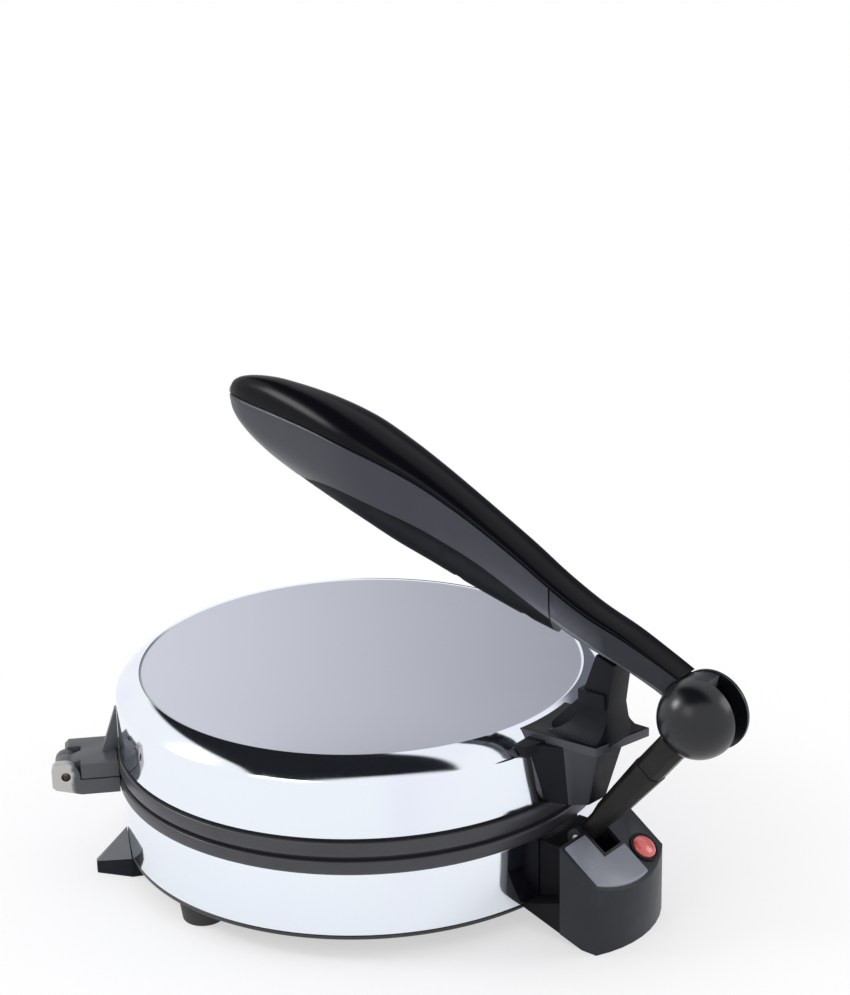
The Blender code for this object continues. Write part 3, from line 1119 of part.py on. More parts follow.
def handle():
    """Top shell, grip shell, arm with its hub, the two caps, the bolt and the screws."""
    rows = [station(GRIP_STATION_SHARES, i, GRIP_DEPTH, GRIP_HALF_WIDTH) for i in range(len(GRIP_STATION_SHARES))]
    arm_rows = [station(ARM_STATION_SHARES, i, ARM_DEPTH, ARM_HALF_WIDTH) for i in range(len(ARM_STATION_SHARES))]

    top = loft("handle_top", [crown_section(*row[:4]) for row in rows + arm_rows])
    top = link_part(top, MATERIALS["gloss"], HANDLE, HANDLE_AXIS)
    hub_gap = BALL_RADIUS + RUNNING_GAP
    wide = ARM_HALF_WIDTH + OVERRUN
    use_cutter(top, rod("top_hub_space", (PIVOT_R, -wide, PIVOT_Z), (PIVOT_R, wide, PIVOT_Z), hub_gap, SMALL_STEPS))

    grip_sections = [under_section(row[0], row[1], row[2], row[4], GRIP_SECTION_SHARES) for row in rows]
    grip = link_part(loft("handle_grip", grip_sections), MATERIALS["grip"], HANDLE, HANDLE_AXIS)
    hollow = []
    for r, seam, half, crown, depth in rows[4:]:
        hollow.append(under_section(r, seam, half - GRIP_WALL, depth - GRIP_WALL, GRIP_SECTION_SHARES, OVERRUN))
    last = [(x + OVERRUN, y, z) for x, y, z in hollow[-1]]
    use_cutter(grip, loft("grip_hollow", hollow + [last]))

    tang = []
    shoulder = ARM_STATION_SHARES[0][0] - FIT_GAP / 4 / HANDLE_REACH
    for share in [TANG_START_SHARE] + [row[0] for row in GRIP_STATION_SHARES[-3:]] + [shoulder]:
        r, seam = handle_point(share)
        half = GRIP_HALF_WIDTH * at_share(GRIP_STATION_SHARES, share, 2) * TANG_WIDTH_SHARE
        tang.append(under_section(r, seam, half, TANG_DEPTH, ARM_SECTION_SHARES))
    body = [under_section(row[0], row[1], row[2], row[4], ARM_SECTION_SHARES) for row in arm_rows]
    arm = link_part(loft("handle_arm", tang + body), MATERIALS["arm"], HANDLE, HANDLE_AXIS)
    pivot_low = (PIVOT_R, -HUB_HALF_WIDTH, PIVOT_Z)
    pivot_high = (PIVOT_R, HUB_HALF_WIDTH, PIVOT_Z)
    clear_caps(arm, "arm", hub_gap)
    hub = rod("arm_hub", pivot_low, pivot_high, BALL_RADIUS - FIT_GAP, SMALL_STEPS)
    use_cutter(arm, hub, "UNION")
    use_cutter(arm, hub_slot("arm_hub_slot"))

    near = -HUB_HALF_WIDTH - FIT_GAP
    ball = [(BALL_RADIUS * x, BALL_RADIUS * y) for x, y in arc((0, 0), 1.0, math.pi / 2, 0, 10)]
    ball[0] = (0, BALL_RADIUS)
    ball += [(0, 0)]
    near_place = Matrix.Translation((PIVOT_R, near, PIVOT_Z)) @ Matrix.Rotation(math.radians(90.0), 4, "X")
    near_cap = turned("ball_cap", ball, SMALL_STEPS, closed=False, place=near_place)
    link_part(near_cap, MATERIALS["gloss"], HANDLE, HANDLE_AXIS)
    far = HUB_HALF_WIDTH + FIT_GAP
    disc = [(0, FAR_CAP_WIDTH), (BALL_RADIUS - FAR_CAP_EDGE, FAR_CAP_WIDTH)]
    disc += [(BALL_RADIUS - FAR_CAP_EDGE * 0.3, FAR_CAP_WIDTH - FAR_CAP_EDGE * 0.3)]
    disc += [(BALL_RADIUS, FAR_CAP_WIDTH - FAR_CAP_EDGE), (BALL_RADIUS, 0), (0, 0)]
    far_place = Matrix.Translation((PIVOT_R, far, PIVOT_Z)) @ Matrix.Rotation(math.radians(-90.0), 4, "X")
    far_cap = turned("far_cap", disc, SMALL_STEPS, closed=False, place=far_place)
    link_part(far_cap, MATERIALS["gloss"], HANDLE, HANDLE_AXIS)
    low = near - BOLT_DEPTH
    high = far + FAR_CAP_WIDTH - FIT_GAP
    for cap, name in ((near_cap, "near"), (far_cap, "far")):
        use_cutter(cap, rod(f"{name}_cap_bore", (PIVOT_R, low - FIT_GAP, PIVOT_Z), (PIVOT_R, high + OVERRUN, PIVOT_Z),
                            BOLT_RADIUS + FIT_GAP, SMALL_STEPS))
    bolt = rod("pivot_bolt", (PIVOT_R, low, PIVOT_Z), (PIVOT_R, high, PIVOT_Z), BOLT_RADIUS, SMALL_STEPS)
    link_part(bolt, MATERIALS["steel"], HANDLE, HANDLE_AXIS)
    handle_screws(grip, arm)


def clear_caps(target, name, radius):
    """Trim a handle piece to just under the hub's width where the caps cover it."""
    thin = HUB_HALF_WIDTH - FIT_GAP / 2
    wide = ARM_HALF_WIDTH + OVERRUN
    for side in (-1, 1):
        inner = (PIVOT_R, side * thin, PIVOT_Z)
        outer = (PIVOT_R, side * wide, PIVOT_Z)
        use_cutter(target, rod(f"{name}_cap_space_{side + 2}", inner, outer, radius, SMALL_STEPS))


def hub_slot(name):
    """The space that the link's eye and shank sweep inside the handle's hub."""
    rest = math.atan2(LINK_PIVOT_Z - PIVOT_Z, LINK_PIVOT_R - PIVOT_R)
    half_shank = math.asin(LINK_TOP_DEPTH / 2 / EYE_RADIUS)
    start = rest - half_shank
    end = rest + HANDLE_LIFT + half_shank
    inner = arc((PIVOT_R, PIVOT_Z), EYE_RADIUS + RUNNING_GAP, end, start + 2 * math.pi, 14)
    outer = arc((PIVOT_R, PIVOT_Z), BALL_RADIUS + OVERRUN, start, end, 16)
    whole = HUB_HALF_WIDTH + OVERRUN
    return side_plate(name, inner + outer, -whole, whole)


def handle_screws(grip, arm):
    """Screws up through the grip's keel into the tang."""
    for number, share in enumerate(HANDLE_SCREW_SHARES):
        r, seam = handle_point(share)
        keel = seam - GRIP_DEPTH * at_share(GRIP_STATION_SHARES, share, 4)
        head = keel + SCREW_WELL
        tip = seam - TANG_DEPTH / 2
        boss_top = seam - TANG_DEPTH - BOSS_RADIUS
        boss_low = (r, 0, keel + GRIP_WALL / 2)
        use_cutter(grip, rod(f"grip_boss_{number + 1}", boss_low, (r, 0, boss_top), BOSS_RADIUS, SMALL_STEPS), "UNION")
        screw_top = [(0, tip), (SCREW_RADIUS, tip), (SCREW_RADIUS, head), (SCREW_HEAD_RADIUS, head)]
        screw_top += [(SCREW_HEAD_RADIUS, head - SCREW_HEAD), (0, head - SCREW_HEAD)]
        screw = turned(f"handle_screw_{number + 1}", screw_top, SCREW_STEPS, closed=False,
                       place=Matrix.Translation((r, 0, 0)))
        link_part(screw, MATERIALS["zinc"], HANDLE, HANDLE_AXIS)
        use_cutter(arm, rod(f"tang_bore_{number + 1}", (r, 0, keel), (r, 0, tip + FIT_GAP), SCREW_RADIUS + FIT_GAP))
        use_cutter(grip, rod(f"grip_bore_{number + 1}", (r, 0, keel - OVERRUN), (r, 0, tip), SCREW_RADIUS + FIT_GAP))
        use_cutter(grip, rod(f"grip_pocket_{number + 1}", (r, 0, keel - OVERRUN * 2), (r, 0, head + FIT_GAP),
                             SCREW_HEAD_RADIUS + FIT_GAP))


clear_scene()
PARTS = make_collection("roti_maker")
CUTTERS = make_collection("cutters")
MATERIALS = {
    "chrome": finish_material("chrome", (0.80, 0.82, 0.86), 0.08, 1.0),
    "ring": finish_material("satin_ring", (0.10, 0.10, 0.12), 0.40, 0.0),
    "black": finish_material("black_plastic", (0.045, 0.045, 0.055), 0.35, 0.0),
    "gloss": finish_material("gloss_black", (0.015, 0.015, 0.020), 0.12, 0.0),
    "grip": finish_material("grip_plastic", (0.055, 0.060, 0.085), 0.35, 0.0),
    "arm": finish_material("arm_plastic", (0.050, 0.052, 0.070), 0.35, 0.0),
    "box": finish_material("box_plastic", (0.050, 0.053, 0.066), 0.32, 0.0),
    "link": finish_material("link_plastic", (0.045, 0.045, 0.052), 0.40, 0.0),
    "pan": finish_material("pan_black", (0.060, 0.062, 0.070), 0.50, 0.0),
    "hinge": finish_material("hinge_paint", (0.16, 0.16, 0.17), 0.45, 0.6),
    "plate": finish_material("nonstick_plate", (0.040, 0.040, 0.042), 0.45, 0.3),
    "heater": finish_material("heater_tube", (0.30, 0.27, 0.24), 0.50, 0.9),
    "sheet": finish_material("galvanised_sheet", (0.62, 0.63, 0.64), 0.40, 1.0),
    "zinc": finish_material("zinc_steel", (0.66, 0.66, 0.66), 0.35, 1.0),
    "steel": finish_material("bright_steel", (0.60, 0.60, 0.61), 0.25, 1.0),
    "bakelite": finish_material("brown_bakelite", (0.16, 0.07, 0.04), 0.45, 0.0),
    "ceramic": finish_material("white_ceramic", (0.82, 0.80, 0.76), 0.35, 0.0),
    "rubber": finish_material("foot_rubber", (0.030, 0.030, 0.032), 0.70, 0.0),
    "lens": finish_material("red_lens", (0.75, 0.06, 0.06), 0.15, 0.0),
    "glass": finish_material("lamp_glass", (0.85, 0.70, 0.60), 0.10, 0.0),
}

LID_AXIS = (-PIN_DISTANCE, 0, HINGE_HEIGHT)
LINK_AXIS = (LINK_PIVOT_R, 0, LINK_PIVOT_Z)
HANDLE_AXIS = (PIVOT_R, 0, PIVOT_Z)
ROOT = make_empty("body_axis", None)
LID = make_empty("lid_open_axis", ROOT, LID_AXIS)
PRESS_FRAME = make_empty("press_plane", ROOT, angle=PRESS_ANGLE)
LINK = make_empty("link_swing_axis", PRESS_FRAME, LINK_AXIS)
HANDLE = make_empty("handle_lift_axis", LINK, Vector(HANDLE_AXIS) - Vector(LINK_AXIS))

base_pan()
base_band()
trim_ring("base_ring", LOWER_RING_BOTTOM, LOWER_RING_TOP, LOWER_RING_BOTTOM, ROOT, (0, 0, 0))
trim_ring("lid_ring", UPPER_RING_BOTTOM, UPPER_RING_TOP, UPPER_PLATE_TOP + FIT_GAP, LID, LID_AXIS)
cooking_plate("lower_plate", LOWER_PLATE_BOTTOM, LOWER_PLATE_TOP, ROOT, (0, 0, 0))
cooking_plate("upper_plate", UPPER_PLATE_BOTTOM, UPPER_PLATE_TOP, LID, LID_AXIS)
heater("lower_heater", LOWER_PLATE_BOTTOM - FIT_GAP - HEATER_TUBE, 1, ROOT, (0, 0, 0))
heater("upper_heater", UPPER_PLATE_TOP + FIT_GAP + HEATER_TUBE, -1, LID, LID_AXIS)
reflector("lower_reflector", LOWER_REFLECTOR_TOP, -1, ROOT, (0, 0, 0))
reflector("upper_reflector", UPPER_REFLECTOR_BOTTOM, 1, LID, LID_AXIS)
clamp_screws("lower", LOWER_PLATE_BOTTOM, LOWER_REFLECTOR_TOP - REFLECTOR_WALL, -1, ROOT, (0, 0, 0))
clamp_screws("upper", UPPER_PLATE_TOP, UPPER_REFLECTOR_BOTTOM + REFLECTOR_WALL, 1, LID, LID_AXIS)
thermostat_and_fuse()
posts_and_pan_screws()
round_feet()
hinge_toe()
hinge()
lid_shell()
bracket_screws()
press_bracket()
power_box()
indicator()
box_insides()
link()
handle()

# The model's outline is centred on the origin, with the body's axis set off to one side
bpy.context.view_layer.update()
depsgraph = bpy.context.evaluated_depsgraph_get()
corners = []
for thing in PARTS.objects:
    if thing.type == "MESH":
        solid = thing.evaluated_get(depsgraph)
        corners += [thing.matrix_world @ v.co for v in solid.data.vertices]
for axis in range(2):
    values = [corner[axis] for corner in corners]
    ROOT.location[axis] = -(min(values) + max(values)) / 2
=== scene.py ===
"""An electric roti maker: mirror lid and base, lever handle, and a power box with a red lamp."""
import bpy
import bmesh
import math
from mathutils import Matrix, Vector


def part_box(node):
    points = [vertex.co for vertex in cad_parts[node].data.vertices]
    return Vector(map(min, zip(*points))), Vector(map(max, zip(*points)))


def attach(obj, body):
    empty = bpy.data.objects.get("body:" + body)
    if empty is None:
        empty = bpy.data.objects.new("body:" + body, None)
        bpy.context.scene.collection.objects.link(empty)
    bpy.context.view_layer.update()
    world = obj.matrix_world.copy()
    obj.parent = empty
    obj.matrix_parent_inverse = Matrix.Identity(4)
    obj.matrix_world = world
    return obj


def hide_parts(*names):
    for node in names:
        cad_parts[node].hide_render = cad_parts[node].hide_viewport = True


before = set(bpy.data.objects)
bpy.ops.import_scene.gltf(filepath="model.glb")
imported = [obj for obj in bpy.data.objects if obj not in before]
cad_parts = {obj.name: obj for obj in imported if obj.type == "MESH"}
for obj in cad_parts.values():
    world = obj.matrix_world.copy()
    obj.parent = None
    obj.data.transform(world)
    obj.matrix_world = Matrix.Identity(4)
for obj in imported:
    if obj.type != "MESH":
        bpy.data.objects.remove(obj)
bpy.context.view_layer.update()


# The studio: a pale floor, a white surround, three soft lamps, and the camera where the photographer stood.
# Metal sees the surround turn grey behind the object on the right, and a dark ceiling over it.
# The ceiling draws the dark band on the lid's shoulder.
MM = 0.001


def plan_middle(node):
    """The middle of a solid's box, at floor level."""
    low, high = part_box(node)
    return Vector(((low.x + high.x) / 2, (low.y + high.y) / 2, 0))


AXIS = plan_middle("lid_ring")
PRESS_ANGLE = math.radians(-47.0)
UPRIGHT = Matrix.Translation(AXIS)
PRESS = UPRIGHT @ Matrix.Rotation(PRESS_ANGLE, 4, "Z")
CAMERA_PLACE = Vector((-105.1, -1000.2, 527.5)) * MM
CAMERA_AIM = Vector((33.0, -3.5, 181.2)) * MM
CAMERA_ROLL = math.radians(-1.25)
CAMERA_LENS = 79.6
AMBIENT = (0.80, 0.805, 0.82, 1)
WHITE = (1, 1, 1, 1)
BACK_GREY = (0.15, 0.16, 0.18, 1)
GREY_START = -0.08
GREY_END = 0.36
GREY_LOW = 0.50
GREY_HIGH = 0.65
CEILING = (0.012, 0.013, 0.016, 1)
CEILING_LOW = 0.40
CEILING_EDGE = 0.06
# each edge of the ceiling as seen from the object: how x, y and z add up to 0 along it
CEILING_LEFT = (1.0, 0.0, 0.88)
CEILING_FRONT = (0.0, 1.0, 0.55)
CEILING_RIGHT = (1.0, 0.63, -0.24)
LAMP_AIM_HEIGHT = 80.0 * MM
# each lamp's name, place, side and strength
LAMPS = [
    ("key_lamp", (-1.05, -1.0, 1.25), 0.75, 1.3),
    ("left_lamp", (-1.3, 0.25, 1.05), 0.45, 12.0),
    ("right_lamp", (1.45, -0.15, 0.75), 0.7, 2.4),
]
FLOOR_RADIUS = 6.0
FLOOR_STEPS = 64
FLOOR_COLOUR = (0.94, 0.94, 0.945)
FLOOR_ROUGHNESS = 0.9
FLOOR_GLOW = 0.55
FLOOR_FADE_START = 0.13
FLOOR_FADE_END = 0.36


class Signal:
    """A number or colour that varies over a surface. Each sum that it takes part in adds a node."""

    def __init__(self, tree, socket):
        self.tree = tree
        self.socket = socket

    def sum_of(self, operation, first, second):
        return self.tree.node("ShaderNodeMath", {"operation": operation}, first, second)

    def __add__(self, other):
        return self.sum_of("ADD", self, other)

    def __radd__(self, other):
        return self.sum_of("ADD", other, self)

    def __sub__(self, other):
        return self.sum_of("SUBTRACT", self, other)

    def __rsub__(self, other):
        return self.sum_of("SUBTRACT", other, self)

    def __mul__(self, other):
        return self.sum_of("MULTIPLY", self, other)

    def __rmul__(self, other):
        return self.sum_of("MULTIPLY", other, self)

    def __pow__(self, other):
        return self.sum_of("POWER", self, other)

    def step(self, start, end):
        """A smooth rise from 0 at start to 1 at end."""
        settings = {"interpolation_type": "SMOOTHSTEP", "clamp": True}
        named = {"From Min": start, "From Max": end}
        return self.tree.node("ShaderNodeMapRange", settings, self, named=named)


class Tree:
    """The nodes of one finish, of the surround or of a pattern."""

    def __init__(self, group):
        self.nodes = group.nodes
        self.links = group.links

    def feed(self, socket, value):
        if isinstance(value, Signal):
            self.links.new(value.socket, socket)
        else:
            socket.default_value = value

    def node(self, kind, settings, *values, named=None, out=0):
        """Adds a node: its settings first, then its inputs in order, then its inputs by name."""
        made = self.nodes.new(kind)
        for name, value in settings.items():
            setattr(made, name, value)
        for place, value in enumerate(values):
            self.feed(made.inputs[place], value)
        for name, value in (named or {}).items():
            self.feed(made.inputs[name], value)
        return Signal(self, made.outputs[out])

    def mix(self, share, first, second):
        """A colour between two others."""
        return self.node("ShaderNodeMix", {"data_type": "RGBA"}, share, named={6: first, 7: second}, out=2)

    def parts(self, vector):
        """The three numbers of a vector."""
        split = self.node("ShaderNodeSeparateXYZ", {}, vector)
        return [Signal(self, socket) for socket in split.socket.node.outputs]

    def ray(self, kind):
        """Tells rays of a kind, such as those of the camera, from others."""
        return self.node("ShaderNodeLightPath", {}, out=f"Is {kind} Ray")


class Finish(Tree):
    """One material: a shader with steady values, and what varies over the surface."""

    def __init__(self, name, colour, roughness, metallic=0.0, steady=None):
        self.material = bpy.data.materials.new(name)
        self.material.use_nodes = True
        super().__init__(self.material.node_tree)
        self.shader = self.nodes["Principled BSDF"]
        self.colour = (*colour, 1)
        values = {"Base Color": self.colour, "Roughness": roughness, "Metallic": metallic}
        for key, value in {**values, **(steady or {})}.items():
            self.set(key, value)

    def where(self, stretch=(1, 1, 1)):
        """The place on the piece, stretched along an axis where the grain runs."""
        spot = self.node("ShaderNodeTexCoord", {}, out="Object")
        return self.node("ShaderNodeMapping", {}, spot, named={"Scale": stretch})

    def noise(self, scale, detail=2.0, stretch=(1, 1, 1)):
        named = {"Vector": self.where(stretch), "Scale": scale, "Detail": detail}
        return self.node("ShaderNodeTexNoise", {}, named=named)

    def cells(self, scale, out="Distance"):
        return self.node("ShaderNodeTexVoronoi", {}, named={"Vector": self.where(), "Scale": scale}, out=out)

    def around(self):
        """The distance from the body's axis."""
        spot = self.node("ShaderNodeTexCoord", {}, out="Object")
        flat = self.node("ShaderNodeVectorMath", {"operation": "SUBTRACT"}, spot, tuple(AXIS))
        x, y, z = self.parts(flat)
        return (x * x + y * y) ** 0.5

    def set(self, name, value):
        self.feed(self.shader.inputs[name], value)

    def tint(self, share, colour):
        """Turns the base colour towards another by a share."""
        self.set("Base Color", self.mix(share, self.colour, (*colour, 1)))

    def relief(self, height, depth):
        """Fine relief, its depth in millimetres."""
        bump = self.node("ShaderNodeBump", {}, named={"Height": height, "Distance": depth * MM})
        self.set("Normal", bump)


def add_object(name, data):
    """Puts a new object in the scene."""
    thing = bpy.data.objects.new(name, data)
    bpy.context.scene.collection.objects.link(thing)
    return thing


bpy.context.scene.view_settings.view_transform = "Standard"

# the camera, turned by its small roll
ahead = (CAMERA_AIM - CAMERA_PLACE).normalized()
level = ahead.cross(Vector((0, 0, 1))).normalized()
up = level.cross(ahead)
right = level * math.cos(CAMERA_ROLL) + up * math.sin(CAMERA_ROLL)
top = up * math.cos(CAMERA_ROLL) - level * math.sin(CAMERA_ROLL)
data = bpy.data.cameras.new("camera")
data.lens = CAMERA_LENS
camera = add_object("camera", data)
turn = Matrix((right, top, -ahead)).transposed().to_4x4()
camera.matrix_world = Matrix.Translation(AXIS + CAMERA_PLACE) @ turn
bpy.context.scene.camera = camera

# white for the eye and for metal, a level grey for the light that falls on the object
world = bpy.data.worlds.new("surround")
world.use_nodes = True
bpy.context.scene.world = world
tree = Tree(world.node_tree)
ahead = tree.node("ShaderNodeTexCoord", {}, out="Generated")
x, y, z = tree.parts(ahead)
grey = x.step(GREY_START, GREY_END) * y.step(0, GREY_LOW) * (1 - z.step(GREY_LOW, GREY_HIGH))
sky = tree.mix(grey, WHITE, BACK_GREY)
edges = []
for edge in (CEILING_LEFT, CEILING_FRONT, CEILING_RIGHT):
    past = tree.node("ShaderNodeVectorMath", {"operation": "DOT_PRODUCT"}, ahead, edge, out="Value")
    edges.append(past.step(0, CEILING_EDGE))
left, front, right = edges
ceiling = left * front * (1 - right) * z.step(CEILING_LOW, CEILING_LOW + CEILING_EDGE)
sky = tree.mix(ceiling, sky, CEILING)
seen = tree.ray("Camera") + tree.ray("Transmission")
colour = tree.mix(seen, tree.mix(tree.ray("Glossy"), AMBIENT, sky), WHITE)
tree.feed(tree.nodes["Background"].inputs["Color"], colour)

# square soft lamps that face the object
for name, place, size, strength in LAMPS:
    data = bpy.data.lights.new(name, "AREA")
    data.size = size
    data.energy = strength * math.pi * size * size
    lamp = add_object(name, data)
    ahead = AXIS + Vector((0, 0, LAMP_AIM_HEIGHT)) - Vector(place)
    lamp.location = place
    lamp.rotation_euler = ahead.to_track_quat("-Z", "Y").to_euler()

# a wide pale disc that fades far from the object into the white surround
mesh = bpy.data.meshes.new("floor")
bm = bmesh.new()
bmesh.ops.create_circle(bm, cap_ends=True, segments=FLOOR_STEPS, radius=FLOOR_RADIUS)
bm.to_mesh(mesh)
bm.free()
floor = add_object("floor", mesh)
paper = Finish("floor_paper", FLOOR_COLOUR, FLOOR_ROUGHNESS, steady={"Specular IOR Level": 0.0})
spot = paper.node("ShaderNodeTexCoord", {}, out="Object")
far = paper.node("ShaderNodeVectorMath", {"operation": "LENGTH"}, spot, out="Value")
share = FLOOR_GLOW + (1 - FLOOR_GLOW) * far.step(FLOOR_FADE_START, FLOOR_FADE_END)
seen = paper.ray("Camera") + paper.ray("Glossy")
shade = Signal(paper, paper.shader.outputs[0])
glow = paper.node("ShaderNodeEmission", {}, WHITE, 1.0)
mixed = paper.node("ShaderNodeMixShader", {}, seen * share, shade, glow)
paper.feed(paper.nodes["Material Output"].inputs["Surface"], mixed)
mesh.materials.append(paper.material)


# The bottom pan, pressed from sheet and enamelled black. It closes the base from below.
# Its rolled lip shows as a thin dark line under the chrome band.
PARTING = 52.0 * MM
RING_RADIUS = 123.0 * MM
BAND_RADIUS = 120.8 * MM
BAND_WALL = 0.9 * MM
FIT_GAP = 0.3 * MM
PAN_LOW = 10.0 * MM
PAN_WALL = 2.0 * MM
PAN_SIDE = 12.0 * MM
PAN_INNER = BAND_RADIUS - BAND_WALL - FIT_GAP - PAN_WALL
RIM_ROOT_ROUND = 1.5 * MM
RIM_EDGE_ROUND = 0.5 * MM
LIP_TOP_ROUND = 0.6 * MM
LIP_BOTTOM_ROUND = 1.4 * MM
CORNER_REACH_SHARE = 0.48
TURN_STEPS = 192
SMOOTH_ANGLE = math.radians(32.0)
NEAR_ZERO = 0.01 * MM
MERGE = 0.005 * MM


def rounded(points, radii, steps=5):
    """An outline of (r, z) with some corners rounded; radii maps a corner's number to its size."""
    result = []
    for number, point in enumerate(points):
        if number not in radii:
            result.append(point)
            continue
        corner = Vector(point)
        before = Vector(points[number - 1]) - corner
        after = Vector(points[(number + 1) % len(points)]) - corner
        reach = min(radii[number], CORNER_REACH_SHARE * before.length, CORNER_REACH_SHARE * after.length)
        first = corner + before.normalized() * reach
        last = corner + after.normalized() * reach
        for i in range(steps + 1):
            t = i / steps
            spot = first * (1 - t) ** 2 + corner * (2 * t * (1 - t)) + last * t ** 2
            result.append((spot.x, spot.y))
    return result


def settle(name, bm, finishes):
    """Makes an object of a mesh at the origin, its faces outward and its round parts smooth."""
    bmesh.ops.remove_doubles(bm, verts=bm.verts, dist=MERGE)
    bmesh.ops.recalc_face_normals(bm, faces=bm.faces)
    mesh = bpy.data.meshes.new(name)
    bm.to_mesh(mesh)
    bm.free()
    for finish in finishes:
        mesh.materials.append(finish.material)
    mesh.shade_smooth()
    mesh.set_sharp_from_angle(angle=SMOOTH_ANGLE)
    return add_object(name, mesh)


def turned(name, profile, finish, place=UPRIGHT, closed=False, steps=TURN_STEPS):
    """A profile of (radius, height) turned about the upright axis of its place."""
    bm = bmesh.new()
    rows = []
    angles = [2 * math.pi * i / steps for i in range(steps)]
    for r, z in profile:
        if r < NEAR_ZERO:
            rows.append([bm.verts.new(place @ Vector((0, 0, z)))] * steps)
        else:
            ring = [Vector((r * math.cos(a), r * math.sin(a), z)) for a in angles]
            rows.append([bm.verts.new(place @ point) for point in ring])
    pairs = list(zip(rows, rows[1:]))
    if closed:
        pairs.append((rows[-1], rows[0]))
    for low, high in pairs:
        for i in range(steps):
            j = (i + 1) % steps
            corners = [low[i], low[j], high[j], high[i]]
            unique = [v for k, v in enumerate(corners) if v not in corners[:k]]
            if len(unique) > 2:
                bm.faces.new(unique)
    return settle(name, bm, [finish])


def fit(thing, body, slot, *nodes):
    """The piece moves with its body and stands for its solids, which are hidden; its slot is not used."""
    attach(thing, body)
    if nodes:
        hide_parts(*nodes)


coat = {"Coat Weight": 0.3, "Coat Roughness": 0.2}
enamel = Finish("black_enamel", (0.012, 0.012, 0.013), 0.38, steady=coat)
enamel.tint(enamel.noise(140.0, 4.0).step(0.55, 0.8) * 0.4, (0.05, 0.05, 0.055))
enamel.relief(enamel.noise(900.0), 0.02)
lip = PAN_LOW + PAN_WALL
rim = lip + PAN_SIDE
pan_outer = PAN_INNER + PAN_WALL
pan_outline = [(0, lip), (PAN_INNER, lip), (PAN_INNER, rim), (pan_outer, rim)]
pan_outline += [(pan_outer, lip), (BAND_RADIUS, lip), (BAND_RADIUS, PAN_LOW), (0, PAN_LOW)]
pan_rounds = {1: RIM_ROOT_ROUND, 2: RIM_EDGE_ROUND, 3: RIM_EDGE_ROUND}
pan_rounds.update({5: LIP_TOP_ROUND, 6: LIP_BOTTOM_ROUND})
fit(turned("bottom_pan", rounded(pan_outline, pan_rounds), enamel), "base", "pan_black", "base_pan")


# The chrome band of the base, rolled from bright sheet with its edges turned in.
# It is polished to a mirror and faintly drawn along its length; broad lavender streaks in its colour are a
# painted reflection.
CHROME = (0.845, 0.89, 0.955)
RING_DROP = 8.1 * MM
BAND_LOW = lip + FIT_GAP
BAND_HIGH = PARTING - RING_DROP - FIT_GAP
HEM = 0.9 * MM

mirror = Finish("polished_sheet", CHROME, 0.06, 1.0)
drawn = mirror.noise(38.0, 3.0, (1, 1, 7.0))
# broad lavender streaks: a painted reflection of the surround, not the metal's own colour
mirror.tint(mirror.noise(16.0, 2.0, (1, 1, 0.2)).step(0.45, 0.7) * 0.7, (0.78, 0.8, 0.94))
mirror.set("Roughness", 0.05 + 0.05 * drawn)
mirror.relief(mirror.noise(24.0, 1.0, (1, 1, 0.4)), 0.1)
hem_in = BAND_RADIUS - BAND_WALL
band_outline = [(hem_in, BAND_HIGH), (BAND_RADIUS, BAND_HIGH), (BAND_RADIUS, BAND_LOW), (hem_in, BAND_LOW)]
band = turned("base_chrome_band", rounded(band_outline, {1: HEM, 2: HEM}), mirror, closed=True)
fit(band, "base", "chrome", "base_band")


# The two trim rings, moulded in dark satin plastic. They meet at the parting line and carry the plates.
# Each has a bowed face between two grooves, so that a black line runs over, between and under them.
RING_RISE = 9.7 * MM
LOWER_RING_LOW = PARTING - RING_DROP
UPPER_RING_HIGH = PARTING + RING_RISE
RING_INNER = 110.6 * MM
FLANGE_INNER = 103.0 * MM
FLANGE = 1.8 * MM
RING_GROOVE = 1.3 * MM
JOINT_GROOVE = 0.75 * MM
BAND_GROOVE = 0.4 * MM
GROOVE_DEPTH = 3.2 * MM
FACE_BOW = 1.4 * MM
FACE_POWER = 0.62
FACE_POINTS = 15
PLATE_WALL = 5.0 * MM
PLATE_GAP = 1.4 * MM

satin = Finish("satin_ring", (0.042, 0.043, 0.05), 0.36)
satin.tint(satin.noise(60.0, 3.0).step(0.4, 0.7) * 0.5, (0.032, 0.033, 0.04))
satin.set("Roughness", 0.32 + 0.1 * satin.noise(220.0, 3.0))
satin.relief(satin.noise(1500.0, 2.0), 0.02)


def evenly(start, end, count):
    """Numbers from start to end in even steps."""
    return [start + (end - start) * i / (count - 1) for i in range(count)]


def ring_face(low, high, under, over):
    """The bowed outer face of a ring from its top to its bottom, with a groove over and under it."""
    groove_in = RING_RADIUS - GROOVE_DEPTH
    middle = (high - over + low + under) / 2
    half = (high - over - low - under) / 2
    face = [(groove_in, high), (groove_in, high - over)]
    for a in evenly(math.pi / 2, -math.pi / 2, FACE_POINTS):
        out = max(math.cos(a), 0) ** FACE_POWER
        up = math.copysign(abs(math.sin(a)) ** FACE_POWER, a)
        face.append((RING_RADIUS - FACE_BOW * (1 - out), middle + half * up))
    return face + [(groove_in, low + under), (groove_in, low)]


def make_ring(name, low, high, flange_low, under, over, body, node):
    """A ring with its outer face, its bore and the flange that carries the plate."""
    flange_high = flange_low + FLANGE
    if flange_low - low < FLANGE:
        inside = [(FLANGE_INNER, low), (FLANGE_INNER, flange_high)]
        inside += [(RING_INNER, flange_high), (RING_INNER, high)]
    else:
        inside = [(RING_INNER, low), (RING_INNER, flange_low)]
        inside += [(FLANGE_INNER, flange_low), (FLANGE_INNER, high)]
    outline = ring_face(low, high, under, over) + inside
    fit(turned(name, outline, satin, closed=True), body, "satin_ring", node)


